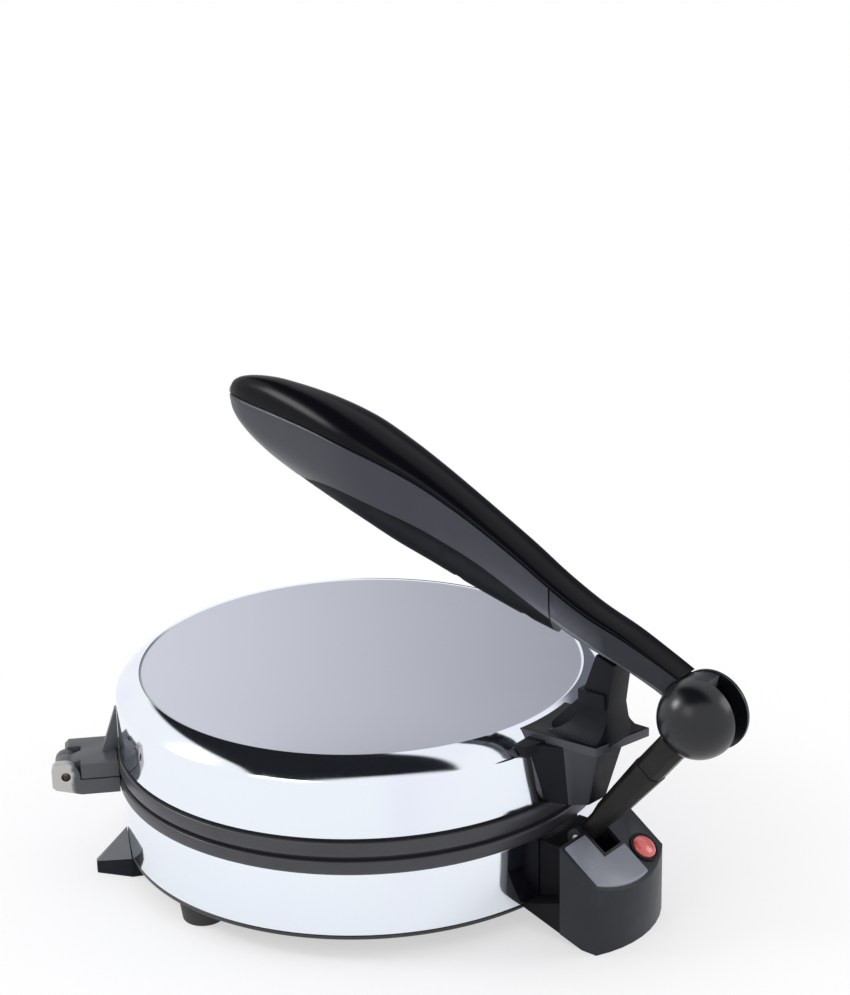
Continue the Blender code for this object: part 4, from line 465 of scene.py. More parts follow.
upper_flange = PARTING + PLATE_GAP / 2 + PLATE_WALL + FIT_GAP
make_ring(
    "base_trim_ring", LOWER_RING_LOW, PARTING - FIT_GAP, LOWER_RING_LOW,
    BAND_GROOVE, JOINT_GROOVE, "base", "base_ring",
)
make_ring(
    "lid_trim_ring", PARTING + FIT_GAP, UPPER_RING_HIGH, upper_flange,
    JOINT_GROOVE, RING_GROOVE, "lid", "lid_ring",
)


# The two cooking plates, cast aluminium turned flat and sprayed with a speckled non-stick coating.
# The turning marks show through the coating as fine rings.
PLATE_RADIUS = RING_INNER - FIT_GAP
PLATE_EDGE = 1.0 * MM
# radians of the turning marks' wave per metre
TURNING_RATE = 2600.0

coating = Finish("non_stick_coating", (0.03, 0.03, 0.033), 0.42)
speck = coating.cells(900.0).step(0.30, 0.12)
coating.tint(speck * coating.noise(70.0, 2.0).step(0.4, 0.62), (0.16, 0.16, 0.165))
marks = coating.node("ShaderNodeMath", {"operation": "SINE"}, coating.around() * TURNING_RATE)
coating.set("Roughness", 0.38 + 0.1 * coating.noise(40.0, 3.0))
coating.relief(marks * 0.5 + coating.noise(700.0, 2.0), 0.02)


def make_plate(name, low, high, body, node):
    """A flat round plate with its edges broken."""
    outline = [(0, high), (PLATE_RADIUS, high), (PLATE_RADIUS, low), (0, low)]
    profile = rounded(outline, {1: PLATE_EDGE, 2: PLATE_EDGE})
    fit(turned(name, profile, coating), body, "nonstick_plate", node)


lower_top = PARTING - PLATE_GAP / 2
upper_low = PARTING + PLATE_GAP / 2
make_plate("lower_cooking_plate", lower_top - PLATE_WALL, lower_top, "base", "lower_plate")
make_plate("upper_cooking_plate", upper_low, upper_low + PLATE_WALL, "lid", "upper_plate")


# What stands behind the plates: sheathed heaters, galvanised reflectors, and plated screws and posts.
# A thermostat in brown bakelite and a ceramic thermal fuse sit in the middle of the base.
def dress(finish, *nodes):
    """Gives solids that keep their shape their finish."""
    for node in nodes:
        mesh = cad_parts[node].data
        mesh.materials.clear()
        mesh.materials.append(finish.material)


def numbered(stem, count):
    """The names of a set of like pieces."""
    return [f"{stem}_{number + 1}" for number in range(count)]


sheath = Finish("heater_sheath", (0.1, 0.095, 0.09), 0.45, 1.0)
sheath.tint(sheath.noise(45.0, 4.0).step(0.45, 0.7), (0.2, 0.13, 0.09))
sheath.relief(sheath.noise(600.0, 3.0), 0.03)
dress(sheath, "lower_heater", "upper_heater")

spangle = Finish("galvanised_sheet", (0.6, 0.61, 0.63), 0.38, 1.0)
flakes = spangle.cells(160.0, "Color")
spangle.tint(spangle.parts(flakes)[0] * 0.6, (0.4, 0.41, 0.44))
spangle.set("Roughness", 0.28 + 0.2 * spangle.parts(flakes)[1])
dress(spangle, "lower_reflector", "upper_reflector")

zinc = Finish("zinc_plate", (0.62, 0.63, 0.67), 0.3, 1.0)
zinc.tint(zinc.noise(300.0, 3.0).step(0.45, 0.7) * 0.7, (0.47, 0.48, 0.5))
zinc.relief(zinc.noise(1200.0, 2.0), 0.01)
for stem in ("lower_clamp_screw", "upper_clamp_screw", "base_post"):
    dress(zinc, *numbered(stem, 3))
for stem in ("bracket_screw", "handle_screw"):
    dress(zinc, *numbered(stem, 2))

bakelite = Finish("brown_bakelite", (0.1, 0.035, 0.018), 0.35)
bakelite.tint(bakelite.noise(160.0, 4.0).step(0.4, 0.65), (0.055, 0.02, 0.012))
dress(bakelite, "thermostat")

ceramic = Finish("white_ceramic", (0.78, 0.76, 0.7), 0.55)
ceramic.tint(ceramic.noise(90.0, 4.0).step(0.45, 0.75) * 0.6, (0.62, 0.58, 0.5))
ceramic.relief(ceramic.noise(900.0, 3.0), 0.03)
dress(ceramic, "thermal_fuse", "terminal_block")


# Three plated screws hold the pan to its posts from below, set evenly round it.
# Each has a domed head with a cross recess, driven up through the pan.
SCREW_COUNT = 3
SCREW_PITCH = 99.0 * MM
SCREW_FIRST = math.radians(85.0)
HEAD_RADIUS = 3.4 * MM
HEAD_HEIGHT = 1.6 * MM
HEAD_ROUND = 1.0 * MM
SHANK_RADIUS = 1.5 * MM
CROSS_DEPTH = 1.1 * MM
CROSS_ARM_SHARE = 0.62
CROSS_BLADE_SHARE = 0.15
CUT_OVER = 1.0 * MM
SCREW_STEPS = 32


class Pattern(Tree):
    """Geometry nodes that take a piece, named sizes and a finish, and set copies of the piece out."""

    def __init__(self, name, sizes):
        self.group = bpy.data.node_groups.new(name, "GeometryNodeTree")
        super().__init__(self.group)
        sockets = self.group.interface
        sockets.new_socket(name="Geometry", in_out="OUTPUT", socket_type="NodeSocketGeometry")
        self.keys = {}
        for label, kind, value in [("Geometry", "Geometry", None), *sizes, ("Finish", "Material", None)]:
            socket = sockets.new_socket(name=label, in_out="INPUT", socket_type=f"NodeSocket{kind}")
            if value is not None:
                socket.default_value = value
            self.keys[label] = socket.identifier
        given = self.nodes.new("NodeGroupInput")
        self.given = {label: Signal(self, given.outputs[label]) for label in self.keys}

    def copy_onto(self, points):
        """Sets a copy of the piece on each point, makes the copies real and gives them the finish."""
        named = {"Points": points, "Instance": self.given["Geometry"]}
        copies = self.node("GeometryNodeInstanceOnPoints", {}, named=named)
        real = self.node("GeometryNodeRealizeInstances", {}, named={"Geometry": copies})
        named = {"Geometry": real, "Material": self.given["Finish"]}
        painted = self.node("GeometryNodeSetMaterial", {}, named=named)
        self.feed(self.nodes.new("NodeGroupOutput").inputs["Geometry"], painted)

    def run(self, thing, values):
        """Runs the pattern on a piece with the given values and keeps the result as a plain mesh."""
        modifier = thing.modifiers.new(self.group.name, "NODES")
        modifier.node_group = self.group
        for label, value in values.items():
            modifier[self.keys[label]] = value
        fixed(thing)


def fixed(thing):
    """Turns an object with live modifiers into a plain mesh."""
    graph = bpy.context.evaluated_depsgraph_get()
    mesh = bpy.data.meshes.new_from_object(thing.evaluated_get(graph))
    thing.modifiers.clear()
    thing.data = mesh


def cut(thing, cutter):
    """Takes one closed shape out of another and removes it."""
    modifier = thing.modifiers.new("cut", "BOOLEAN")
    modifier.object = cutter
    modifier.operation = "DIFFERENCE"
    fixed(thing)
    bpy.data.objects.remove(cutter)


def brick(name, low, high, finish):
    """A box between two corners."""
    bm = bmesh.new()
    bmesh.ops.create_cube(bm, size=1.0)
    size = Vector(high) - Vector(low)
    middle = (Vector(high) + Vector(low)) / 2
    shape = Matrix.Translation(middle) @ Matrix.Diagonal((*size, 1))
    bmesh.ops.transform(bm, matrix=shape, verts=bm.verts)
    return settle(name, bm, [finish])


head_top = PAN_LOW - FIT_GAP
head_low = head_top - HEAD_HEIGHT
shank_top = lip + HEAD_HEIGHT
screw_outline = [(0, shank_top), (SHANK_RADIUS, shank_top), (SHANK_RADIUS, head_top)]
screw_outline += [(HEAD_RADIUS, head_top), (HEAD_RADIUS, head_low), (0, head_low)]
screw_outline = rounded(screw_outline, {4: HEAD_ROUND})
screws = turned("pan_screws", screw_outline, zinc, Matrix.Identity(4), steps=SCREW_STEPS)
arm = HEAD_RADIUS * CROSS_ARM_SHARE
blade = HEAD_RADIUS * CROSS_BLADE_SHARE
for number, (x, y) in enumerate([(blade, arm), (arm, blade)]):
    corners = [(-x, -y, head_low - CUT_OVER), (x, y, head_low + CROSS_DEPTH)]
    cut(screws, brick(f"cross_{number}", *corners, zinc))

# copies of a piece set evenly round an upright axis
sizes = [("Count", "Int", SCREW_COUNT), ("Pitch Radius", "Float", SCREW_PITCH)]
sizes += [("Turn", "Rotation", None), ("Centre", "Vector", None)]
ring = Pattern("ring_of_pieces", sizes)
named = {"Vertices": ring.given["Count"], "Radius": ring.given["Pitch Radius"]}
circle = ring.node("GeometryNodeMeshCircle", {}, named=named)
named = {"Geometry": circle, "Rotation": ring.given["Turn"], "Translation": ring.given["Centre"]}
ring.copy_onto(ring.node("GeometryNodeTransform", {}, named=named))
ring.run(screws, {"Turn": (0, 0, SCREW_FIRST), "Centre": tuple(AXIS), "Finish": zinc.material})
fit(screws, "base", "zinc_steel", *numbered("pan_screw", SCREW_COUNT))


# Three round feet, moulded in black rubber and pressed into the pan, one in front and two behind.
# Each tapers to the table and has a shallow cup in its underside.
FOOT_RADIUS = 11.5 * MM
FOOT_BOTTOM = 10.2 * MM
FOOT_ROUND = 1.2 * MM
FOOT_CUP = 1.0 * MM
CUP_MOUTH_SHARE = 0.62
CUP_FLOOR_SHARE = 0.55
FOOT_STEPS = 64

rubber = Finish("black_rubber", (0.02, 0.02, 0.021), 0.62)
rubber.tint(rubber.noise(55.0, 4.0).step(0.4, 0.75) * 0.6, (0.042, 0.042, 0.044))
rubber.relief(rubber.noise(1300.0, 3.0), 0.04)
foot_top = PAN_LOW - FIT_GAP
cup_mouth = FOOT_BOTTOM * CUP_MOUTH_SHARE
cup_floor = FOOT_BOTTOM * CUP_FLOOR_SHARE
foot_outline = [(0, foot_top), (FOOT_RADIUS, foot_top), (FOOT_BOTTOM, 0)]
foot_outline += [(cup_mouth, 0), (cup_floor, FOOT_CUP), (0, FOOT_CUP)]
foot_outline = rounded(foot_outline, {1: FOOT_ROUND / 2, 2: FOOT_ROUND, 3: FOOT_ROUND / 3})
for foot in ("front_foot", "rear_left_foot", "rear_right_foot"):
    place = Matrix.Translation(plan_middle(foot))
    foot_body = turned(f"{foot}_rubber", foot_outline, rubber, place, steps=FOOT_STEPS)
    fit(foot_body, "base", "foot_rubber", foot)


# The wedge toe under the hinge, moulded in black plastic and screwed to the pan.
# It stops the press from tipping back when the lid is thrown open.
MOULD_ROUND = 0.7 * MM
# how far upward the faces of the toe's top point
TOE_TOP_LEAN = 0.3
FLAT_ANGLE = math.radians(2.0)
ROUND_ANGLE = math.radians(28.0)


def moulded(name, colour, roughness, worn, grain, shine=0.5):
    """Moulded plastic: uneven sheen, faint scuffs and the fine grain of the tool."""
    finish = Finish(name, colour, roughness, steady={"Specular IOR Level": shine})
    finish.tint(finish.noise(70.0, 4.0).step(0.45, 0.8) * 0.5, worn)
    finish.set("Roughness", (roughness - 0.05) + 0.12 * finish.noise(180.0, 4.0))
    finish.relief(finish.noise(2200.0, 2.0) + finish.noise(420.0, 1.0) * 0.6, grain)
    return finish


def round_edges(thing, width, segments=3):
    """Rounds a piece's edges and keeps the result as a plain mesh."""
    bevel = thing.modifiers.new("edges", "BEVEL")
    bevel.width = width
    bevel.segments = segments
    bevel.limit_method = "ANGLE"
    bevel.angle_limit = ROUND_ANGLE
    fixed(thing)
    thing.data.shade_smooth()
    thing.data.set_sharp_from_angle(angle=ROUND_ANGLE)
    return thing


def softened(name, node, body, slot, finishes, width, segments=3, shape=None):
    """Replaces a solid by a copy with its flat faces whole, shaped further if asked, and round edges."""
    bm = bmesh.new()
    bm.from_mesh(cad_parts[node].data)
    bmesh.ops.remove_doubles(bm, verts=bm.verts, dist=MERGE)
    bmesh.ops.dissolve_limit(bm, angle_limit=FLAT_ANGLE, verts=bm.verts, edges=bm.edges)
    if shape:
        shape(bm)
    thing = round_edges(settle(name, bm, finishes), width, segments)
    fit(thing, body, slot, node)
    return thing


def paint_faces(thing, chosen):
    """Gives the second finish to faces by a test of their middle, seen from the axis, and their normal."""
    for face in thing.data.polygons:
        if chosen(face.center - AXIS, face.normal):
            face.material_index = 1


black = moulded("black_moulding", (0.006, 0.007, 0.01), 0.42, (0.013, 0.014, 0.019), 0.03, 0.14)
# a lighter copy of the black moulding, for faces painted with sheen
painted_sheen_face = moulded("painted_sheen_moulding", (0.036, 0.038, 0.048), 0.34, (0.048, 0.05, 0.06), 0.02)
# a paler copy of the black moulding, used to paint light on faces that catch it
painted_light_face = moulded("painted_light_moulding", (0.105, 0.11, 0.125), 0.36, (0.13, 0.135, 0.15), 0.02)
toe = softened("toe_wedge", "hinge_toe", "base", "black_plastic", [black, painted_light_face], MOULD_ROUND)
# the toe's upward faces take the paler moulding: painted light from above
paint_faces(toe, lambda p, n: n.z > TOE_TOP_LEAN)


# The lid's hinge: one bracket on the base with two ears, one on the lid with the knuckle between them.
# Both are die castings painted dark grey. The near ear's end turns silver and metallic, and the pin is
# blackened.
HINGE_ROUND = 0.5 * MM
EAR_OUTER = -15.5 * MM
EAR_WIDTH = 4.8 * MM
SILVER_END = -143.5 * MM
SILVER_START = -141.0 * MM
SILVER_WANDER = 3.0 * MM
PAINT_GREY = (0.066, 0.070, 0.080)

paint = Finish("hinge_paint", PAINT_GREY, 0.42)
paint.tint(paint.noise(120.0, 4.0).step(0.5, 0.78) * 0.6, (0.07, 0.068, 0.068))
paint.relief(paint.noise(700.0, 3.0), 0.06)
# the near ear's end turns silver and metallic
silver_end_finish = Finish("casting_silver_end", PAINT_GREY, 0.36)
x, y, z = silver_end_finish.parts(silver_end_finish.where())
silver_share = (x + silver_end_finish.noise(420.0, 4.0) * SILVER_WANDER).step(SILVER_START, SILVER_END)
silver_end_finish.set("Metallic", silver_share)
silver_end_finish.tint(silver_share, (0.5, 0.49, 0.48))
silver_end_finish.relief(silver_end_finish.noise(900.0, 3.0), 0.04)
names = ("hinge_base_bracket", "base_hinge_bracket", "base", "hinge_paint")
base_bracket = softened(*names, [paint, silver_end_finish], HINGE_ROUND)
ear_end = EAR_OUTER + EAR_WIDTH - HINGE_ROUND
paint_faces(base_bracket, lambda p, n: p.y < ear_end)
softened("hinge_lid_bracket", "lid_hinge_bracket", "lid", "hinge_paint", [paint], HINGE_ROUND)

steel = Finish("turned_steel", (0.56, 0.56, 0.58), 0.25, 1.0)
steel.tint(steel.noise(400.0, 2.0).step(0.4, 0.7) * 0.5, (0.42, 0.42, 0.44))
steel.relief(steel.noise(1500.0, 1.0), 0.01)
dress(steel, "link_pin", "pivot_bolt")
blackened = Finish("blackened_pin", (0.05, 0.042, 0.034), 0.4, 1.0)
blackened.tint(blackened.noise(500.0, 2.0).step(0.4, 0.7), (0.16, 0.13, 0.09))
dress(blackened, "hinge_pin")


# The lid's shell, drawn from one bright sheet: a flat satin disc, a sloping shoulder and an upright band.
# The shoulder and the band are polished to a mirror, and a small step runs round the disc.
LID_RISE = 46.2 * MM
LID_TOP = PARTING + LID_RISE
SHELL_INSET = 1.3 * MM
SHELL_RADIUS = RING_RADIUS - SHELL_INSET
SHELL_WALL = 0.9 * MM
SHOULDER_RADIUS = 30.3 * MM
SHOULDER_START = math.radians(24.0)
SHOULDER_END = math.radians(46.0)
SHOULDER_POINTS = 13
SHOULDER_ROUND = 2.4 * MM
SHOULDER_ROUND_STEPS = 8
DISC_RADIUS = 109.8 * MM
DISC_STEP = 0.5 * MM
# how far upward the faces of the disc point
DISC_LEAN = 0.995
SPUN_RATE = 5200.0

lapped = Finish("lapped_disc", (0.64, 0.655, 0.75), 0.26, 1.0)
spun = lapped.node("ShaderNodeMath", {"operation": "SINE"}, lapped.around() * SPUN_RATE)
lapped.set("Roughness", 0.23 + 0.05 * lapped.noise(30.0, 3.0))
lapped.tint(lapped.noise(6.0, 2.0).step(0.35, 0.75) * 0.4, (0.61, 0.63, 0.745))
lapped.relief(spun * 0.3 + lapped.noise(1800.0, 1.0), 0.004)

shell_low = UPPER_RING_HIGH + FIT_GAP
step_in = DISC_RADIUS - DISC_STEP * 2
tilts = evenly(SHOULDER_START, SHOULDER_END, SHOULDER_POINTS)
hub_r = DISC_RADIUS - SHOULDER_RADIUS * math.sin(SHOULDER_START)
hub_z = LID_TOP - SHOULDER_RADIUS * math.cos(SHOULDER_START)
shoulder = [(hub_r + SHOULDER_RADIUS * math.sin(a), hub_z + SHOULDER_RADIUS * math.cos(a)) for a in tilts]
corner_drop = (SHELL_RADIUS - shoulder[-1][0]) * math.tan(SHOULDER_END)
corner_z = shoulder[-1][1] - corner_drop
inner_r = SHELL_RADIUS - SHELL_WALL
side = [(SHELL_RADIUS, corner_z), (SHELL_RADIUS, shell_low), (inner_r, shell_low), (inner_r, corner_z)]
ceiling_z = LID_TOP - DISC_STEP * 4
side += [(DISC_RADIUS, ceiling_z), (0, ceiling_z)]
flat = LID_TOP - DISC_STEP
shell_profile = [(0, flat), (step_in / 2, flat), (step_in - DISC_STEP, flat), (step_in, flat)] + shoulder
shell_rounds = {1: SHOULDER_ROUND, 2: SHELL_WALL / 3}
shell_profile += rounded([shoulder[-1]] + side, shell_rounds, SHOULDER_ROUND_STEPS)[1:]
shell = turned("lid_bright_shell", shell_profile, mirror)
shell.data.materials.append(lapped.material)
paint_faces(shell, lambda p, n: n.z > DISC_LEAN and p.xy.length < step_in)
fit(shell, "lid", "chrome", "lid_shell")


# The press bracket, moulded in black plastic and screwed to the lid's side from within.
# Its stem stands against the shell, its shelf reaches over the link, and its upright meets the handle's arm.
# The right half of the stem's front and the shelf's outer edges are painted lighter, a painted sheen.
SHELF_DROP = 1.0 * MM
SHELF_TOP = LID_TOP - SHELF_DROP
SHELF_WALL = 4.2 * MM
# how far the shelf's edges may lean, and how closely the stem's front follows its direction
SHELF_EDGE_LEAN = 0.5
STEM_FACE = Vector((-0.11, -0.98, -0.18))
STEM_FACE_LEAN = 0.98
STEM_SPLIT = 78.0 * MM
BRACKET_ROUND = 0.9 * MM


def split_stem(bm):
    """Cuts the stem's front face in two, so that its right half can be painted lighter as sheen."""
    whole = bm.verts[:] + bm.edges[:] + bm.faces[:]
    place = (AXIS.x + STEM_SPLIT, 0, 0)
    bmesh.ops.bisect_plane(bm, geom=whole, plane_co=place, plane_no=(1, 0, 0))


def is_painted_sheen(p, n):
    """Tells the right half of the stem's front face and the shelf's edges, which are painted lighter as
    sheen, from the rest.
    """
    shelf_low = SHELF_TOP - SHELF_WALL
    on_edge = abs(n.z) < SHELF_EDGE_LEAN and shelf_low < p.z < SHELF_TOP and p.length > SHELL_RADIUS
    on_stem = n.dot(STEM_FACE) > STEM_FACE_LEAN and p.x > STEM_SPLIT and p.z < shelf_low
    return on_edge or on_stem


names = ("press_bracket_moulding", "press_bracket", "lid", "black_plastic")
bracket = softened(*names, [black, painted_sheen_face], BRACKET_ROUND, shape=split_stem)
paint_faces(bracket, is_painted_sheen)


# The handle: a glossy top shell over a satin grip with a keel, and an arm that runs down to the pivot.
# Its form is set out by stations from the tip to the pivot and drawn through them.
PIVOT_R = 198.2 * MM
PIVOT_Z = 121.6 * MM
HANDLE_REACH = 278.2 * MM
HANDLE_RISE = 100.4 * MM
GRIP_HALF = 16.0 * MM
CROWN = 13.0 * MM
GRIP_DEPTH = 42.0 * MM
ARM_HALF = 9.0 * MM
SEAM = 0.5 * MM
SEAM_ROUND = 0.6 * MM
TIP_ROLL = 3.0 * MM
CHINE_STEP = 0.35 * MM
ROLL_POINTS = 5
SIDE_POINTS = 8
KEEL_POINTS = 12
BALL_RADIUS = 18.5 * MM
HUB_HALF = 4.9 * MM
TIP_SHARE = 0.0022
TIP_WIDTH_SHARE = 0.45
TIP_HEIGHT_SHARE = 0.5
ROLLED_EDGE_SHARE = 0.30
ROWS_BETWEEN = 5
WIDTHS_BETWEEN = 4
CHINES_BETWEEN = 6
CROWN_POINTS = 25
HUB_CLEARANCE = 0.6 * MM
HUB_STEPS = 96
WELL_SHARE = 1.2
ARM_ROUND = 0.35 * MM
ARM_ROUND_STEPS = 2
# share of the reach from the tip, rise, half width, crown and depth, each a share of the sizes above
GRIP_STATION_SHARES = [
    (0.000, 1.000, 0.10, 0.23, 0.10),
    (0.011, 1.001, 0.22, 0.50, 0.26),
    (0.036, 1.000, 0.38, 0.73, 0.41),
    (0.079, 0.993, 0.53, 0.92, 0.58),
    (0.128, 0.983, 0.66, 1.00, 0.70),
    (0.225, 0.954, 0.88, 0.98, 0.86),
    (0.309, 0.913, 1.00, 0.85, 0.95),
    (0.388, 0.857, 0.90, 0.62, 1.00),
    (0.459, 0.791, 0.76, 0.46, 0.98),
    (0.529, 0.709, 0.67, 0.35, 0.92),
    (0.588, 0.632, 0.62, 0.28, 0.84),
    (0.655, 0.537, 0.59, 0.24, 0.72),
    (0.719, 0.438, 0.56, 0.21, 0.57),
]
ARM_STATION_SHARES = [
    (0.790, 0.344, 0.54, 0.19, 1.02),
    (0.860, 0.278, 0.51, 0.15, 0.96),
    (0.920, 0.211, 0.47, 0.09, 0.95),
    (0.975, 0.144, 0.43, 0.06, 1.03),
]
# share of the reach, and the rise of the moulded arm's straight runs there
ARM_RISE_SHARES = [(0.722, 0.434), (0.790, 0.339), (0.860, 0.281), (0.920, 0.214), (0.975, 0.144)]
# share of the grip's depth, and the share of its half width there
GRIP_WIDTH_SHARES = [(0.0, 1.0), (0.20, 0.99), (0.42, 0.96), (0.60, 0.89), (0.81, 0.62)]
GRIP_WIDTH_SHARES += [(0.95, 0.30), (1.0, 0.0)]
# share of the reach, and the share of the depth at which the keel starts there
CHINE_SHARES = [(0.0, 0.97), (0.10, 0.965), (0.16, 0.94), (0.20, 0.82), (0.24, 0.69), (0.29, 0.60)]
CHINE_SHARES += [(0.37, 0.54), (0.46, 0.50), (0.58, 0.48), (0.66, 0.54), (0.719, 0.62)]
# how steeply the faces of the arm's lower edge lean; these faces are painted paler as light from the floor
ARM_EDGE_LEANS = (-0.8, -0.2)

gloss = Finish("glossy_black", (0.003, 0.003, 0.005), 0.22, steady={"Specular IOR Level": 0.1})
gloss.set("Roughness", 0.2 + 0.05 * gloss.noise(90.0, 3.0))
gloss.tint(gloss.noise(500.0, 3.0).step(0.62, 0.8) * 0.3, (0.012, 0.012, 0.014))
gloss.relief(gloss.noise(35.0, 2.0), 0.05)
grip_plastic = moulded("grip_plastic", (0.021, 0.023, 0.036), 0.3, (0.029, 0.031, 0.045), 0.02)
# the keel faces down; its near-black colour and weak sheen are painted shade
keel_painted_shade = moulded("keel_painted_shade", (0.002, 0.003, 0.004), 0.5, (0.005, 0.005, 0.007), 0.03, 0.1)
arm_plastic = moulded("arm_plastic", (0.013, 0.014, 0.022), 0.34, (0.02, 0.021, 0.031), 0.02, 0.3)


def drawn_through(rows, between):
    """Rows of numbers between the given rows, on smooth curves through them over the first number."""
    def slope(i, column):
        a = rows[max(i - 1, 0)]
        b = rows[min(i + 1, len(rows) - 1)]
        return (b[column] - a[column]) / (b[0] - a[0])

    result = []
    for i in range(len(rows) - 1):
        step = rows[i + 1][0] - rows[i][0]
        for k in range(between):
            t = k / between
            row = [rows[i][0] + step * t]
            for column in range(1, len(rows[0])):
                start = (2 * t ** 3 - 3 * t ** 2 + 1) * rows[i][column]
                end = (3 * t ** 2 - 2 * t ** 3) * rows[i + 1][column]
                leave = (t ** 3 - 2 * t ** 2 + t) * step * slope(i, column)
                arrive = (t ** 3 - t ** 2) * step * slope(i + 1, column)
                row.append(start + end + leave + arrive)
            result.append(row)
    result.append(list(rows[-1]))
    return result


def skinned(name, loops, finishes, tell=None):
    """A skin over closed loops of points, with both ends filled; tell picks a strip's finish."""
    bm = bmesh.new()
    rows = [[bm.verts.new(p) for p in loop] for loop in loops]
    count = len(rows[0])
    for low, high in zip(rows, rows[1:]):
        for i in range(count):
            j = (i + 1) % count
            face = bm.faces.new((low[i], low[j], high[j], high[i]))
            face.material_index = tell(i) if tell else 0
    bm.faces.new(rows[0])
    bm.faces.new(rows[-1])
    return settle(name, bm, finishes)


def station(row):
    """The sizes at a row of the handle: r, the seam's height, half width, crown and depth."""
    share, rise, half, crown, depth = row
    r = PIVOT_R - HANDLE_REACH * (1 - share)
    return r, PIVOT_Z + HANDLE_RISE * rise, GRIP_HALF * half, CROWN * crown, GRIP_DEPTH * depth


def tip_row(rows):
    """A small last row in front of the tip, which rounds it."""
    share, rise, half, crown, depth = rows[0]
    lowered = [crown * TIP_HEIGHT_SHARE, depth * TIP_HEIGHT_SHARE]
    return [share - TIP_SHARE, rise, half * TIP_WIDTH_SHARE] + lowered


def crown_loop(row):
    """The top shell's section: an arch with a small roll at each seam."""
    r, seam, half, crown, depth = station(row)
    base = seam + SEAM / 2
    spring = base + min(SEAM_ROUND, crown / 4)
    arch = evenly(0, math.pi, CROWN_POINTS)
    loop = [(r, half * math.cos(a), spring + crown * math.sin(a)) for a in arch]
    roll = min(SEAM_ROUND, half / 4)
    loop = [(r, half - roll, base)] + loop + [(r, roll - half, base)]
    return [PRESS @ Vector(p) for p in loop]


def along(pairs, spot):
    """The value at a spot of a run of (spot, value) pairs, straight between them."""
    for (start, low), (end, high) in zip(pairs, pairs[1:]):
        if spot <= end:
            return low + (high - low) * max(spot - start, 0) / (end - start)
    return pairs[-1][1]


width_run = drawn_through(GRIP_WIDTH_SHARES, WIDTHS_BETWEEN)
chine_run = drawn_through(CHINE_SHARES, CHINES_BETWEEN)


def grip_loop(row):
    """The grip's section: rolled edge at the seam, near side, chine, keel, and back up the far side."""
    r, seam, half, crown, depth = station(row)
    rolled = 1 - min(row[0] / ROLLED_EDGE_SHARE, 1)
    roll = min(SEAM_ROUND + (TIP_ROLL - SEAM_ROUND) * rolled, half / 3)
    top = seam - SEAM / 2 - roll
    bend = [math.pi / 2 * i / ROLL_POINTS for i in range(ROLL_POINTS)]
    run = [(half - roll + roll * math.sin(a), top + roll * math.cos(a)) for a in bend]
    chine = along(chine_run, row[0])
    for z in evenly(0, chine, SIDE_POINTS):
        run.append((half * along(width_run, z), top - (depth - roll) * z))
    for left in evenly(1, 0, KEEL_POINTS):
        z = 1 - (1 - chine) * left
        step = min(CHINE_STEP, half / 8) * left
        run.append((half * along(width_run, z) - step, top - (depth - roll) * z))
    mirrored = [(-y, z) for y, z in reversed(run[:-1])]
    return [PRESS @ Vector((r, y, z)) for y, z in run + mirrored]


def tells_keel(i):
    """Picks the keel's near-black finish, painted shade on the handle's underside, for the strips below the
    chine.
    """
    start = ROLL_POINTS + SIDE_POINTS - 1
    end = 2 * (ROLL_POINTS + SIDE_POINTS + KEEL_POINTS - 1) - start
    return 1 if start <= i < end else 0


def pivot_place(side, turn):
    """A place on the pivot's axis, with its own axis turned to run along the bolt."""
    return PRESS @ Matrix.Translation((PIVOT_R, side, PIVOT_Z)) @ Matrix.Rotation(turn, 4, "X")


def bend_arm(bm):
    """Cuts the arm across between its stations and lifts it to the smooth curve of the seam."""
    first, last = ARM_RISE_SHARES[0][0], ARM_RISE_SHARES[-1][0]
    smooth = [(row[0], row[1]) for row in whole]
    outward = PRESS.to_3x3() @ Vector((1, 0, 0))
    for row in whole:
        if first < row[0] < last:
            spot = PRESS @ Vector((station(row)[0], 0, 0))
            everything = bm.verts[:] + bm.edges[:] + bm.faces[:]
            bmesh.ops.bisect_plane(bm, geom=everything, plane_co=spot, plane_no=outward)
    for v in bm.verts:
        share = 1 - (PIVOT_R - (PRESS.inverted() @ v.co).x) / HANDLE_REACH
        if first < share < last:
            v.co.z += HANDLE_RISE * (along(smooth, share) - along(ARM_RISE_SHARES, share))


whole = drawn_through(GRIP_STATION_SHARES + ARM_STATION_SHARES, ROWS_BETWEEN)
top_rows = [tip_row(whole)] + whole
handle_top = skinned("handle_top_shell", [crown_loop(row) for row in top_rows], [gloss])
hub_room = BALL_RADIUS + HUB_CLEARANCE
barrel = [(0, ARM_HALF * 2), (hub_room, ARM_HALF * 2), (hub_room, -ARM_HALF * 2), (0, -ARM_HALF * 2)]
cut(handle_top, turned("hub_room", barrel, gloss, pivot_place(0, math.pi / 2), steps=HUB_STEPS))
fit(handle_top, "handle", "gloss_black", "handle_top")

grip_rows = drawn_through(GRIP_STATION_SHARES, ROWS_BETWEEN)
grip_loops = [grip_loop(row) for row in [tip_row(grip_rows)] + grip_rows]
grip = skinned("handle_grip_shell", grip_loops, [grip_plastic, keel_painted_shade], tells_keel)
for number, node in enumerate(numbered("handle_screw", 2)):
    well_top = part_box(node)[0].z + HEAD_HEIGHT + FIT_GAP
    well_radius = HEAD_RADIUS * WELL_SHARE
    well = [(0, well_top), (well_radius, well_top), (well_radius, 0), (0, 0)]
    place = Matrix.Translation(plan_middle(node))
    cut(grip, turned(f"screw_well_{number}", well, keel_painted_shade, place, steps=SCREW_STEPS))
fit(grip, "handle", "grip_plastic", "handle_grip")

names = ("handle_arm_moulding", "handle_arm", "handle", "arm_plastic")
arm = softened(*names, [arm_plastic, painted_light_face], ARM_ROUND, ARM_ROUND_STEPS, bend_arm)
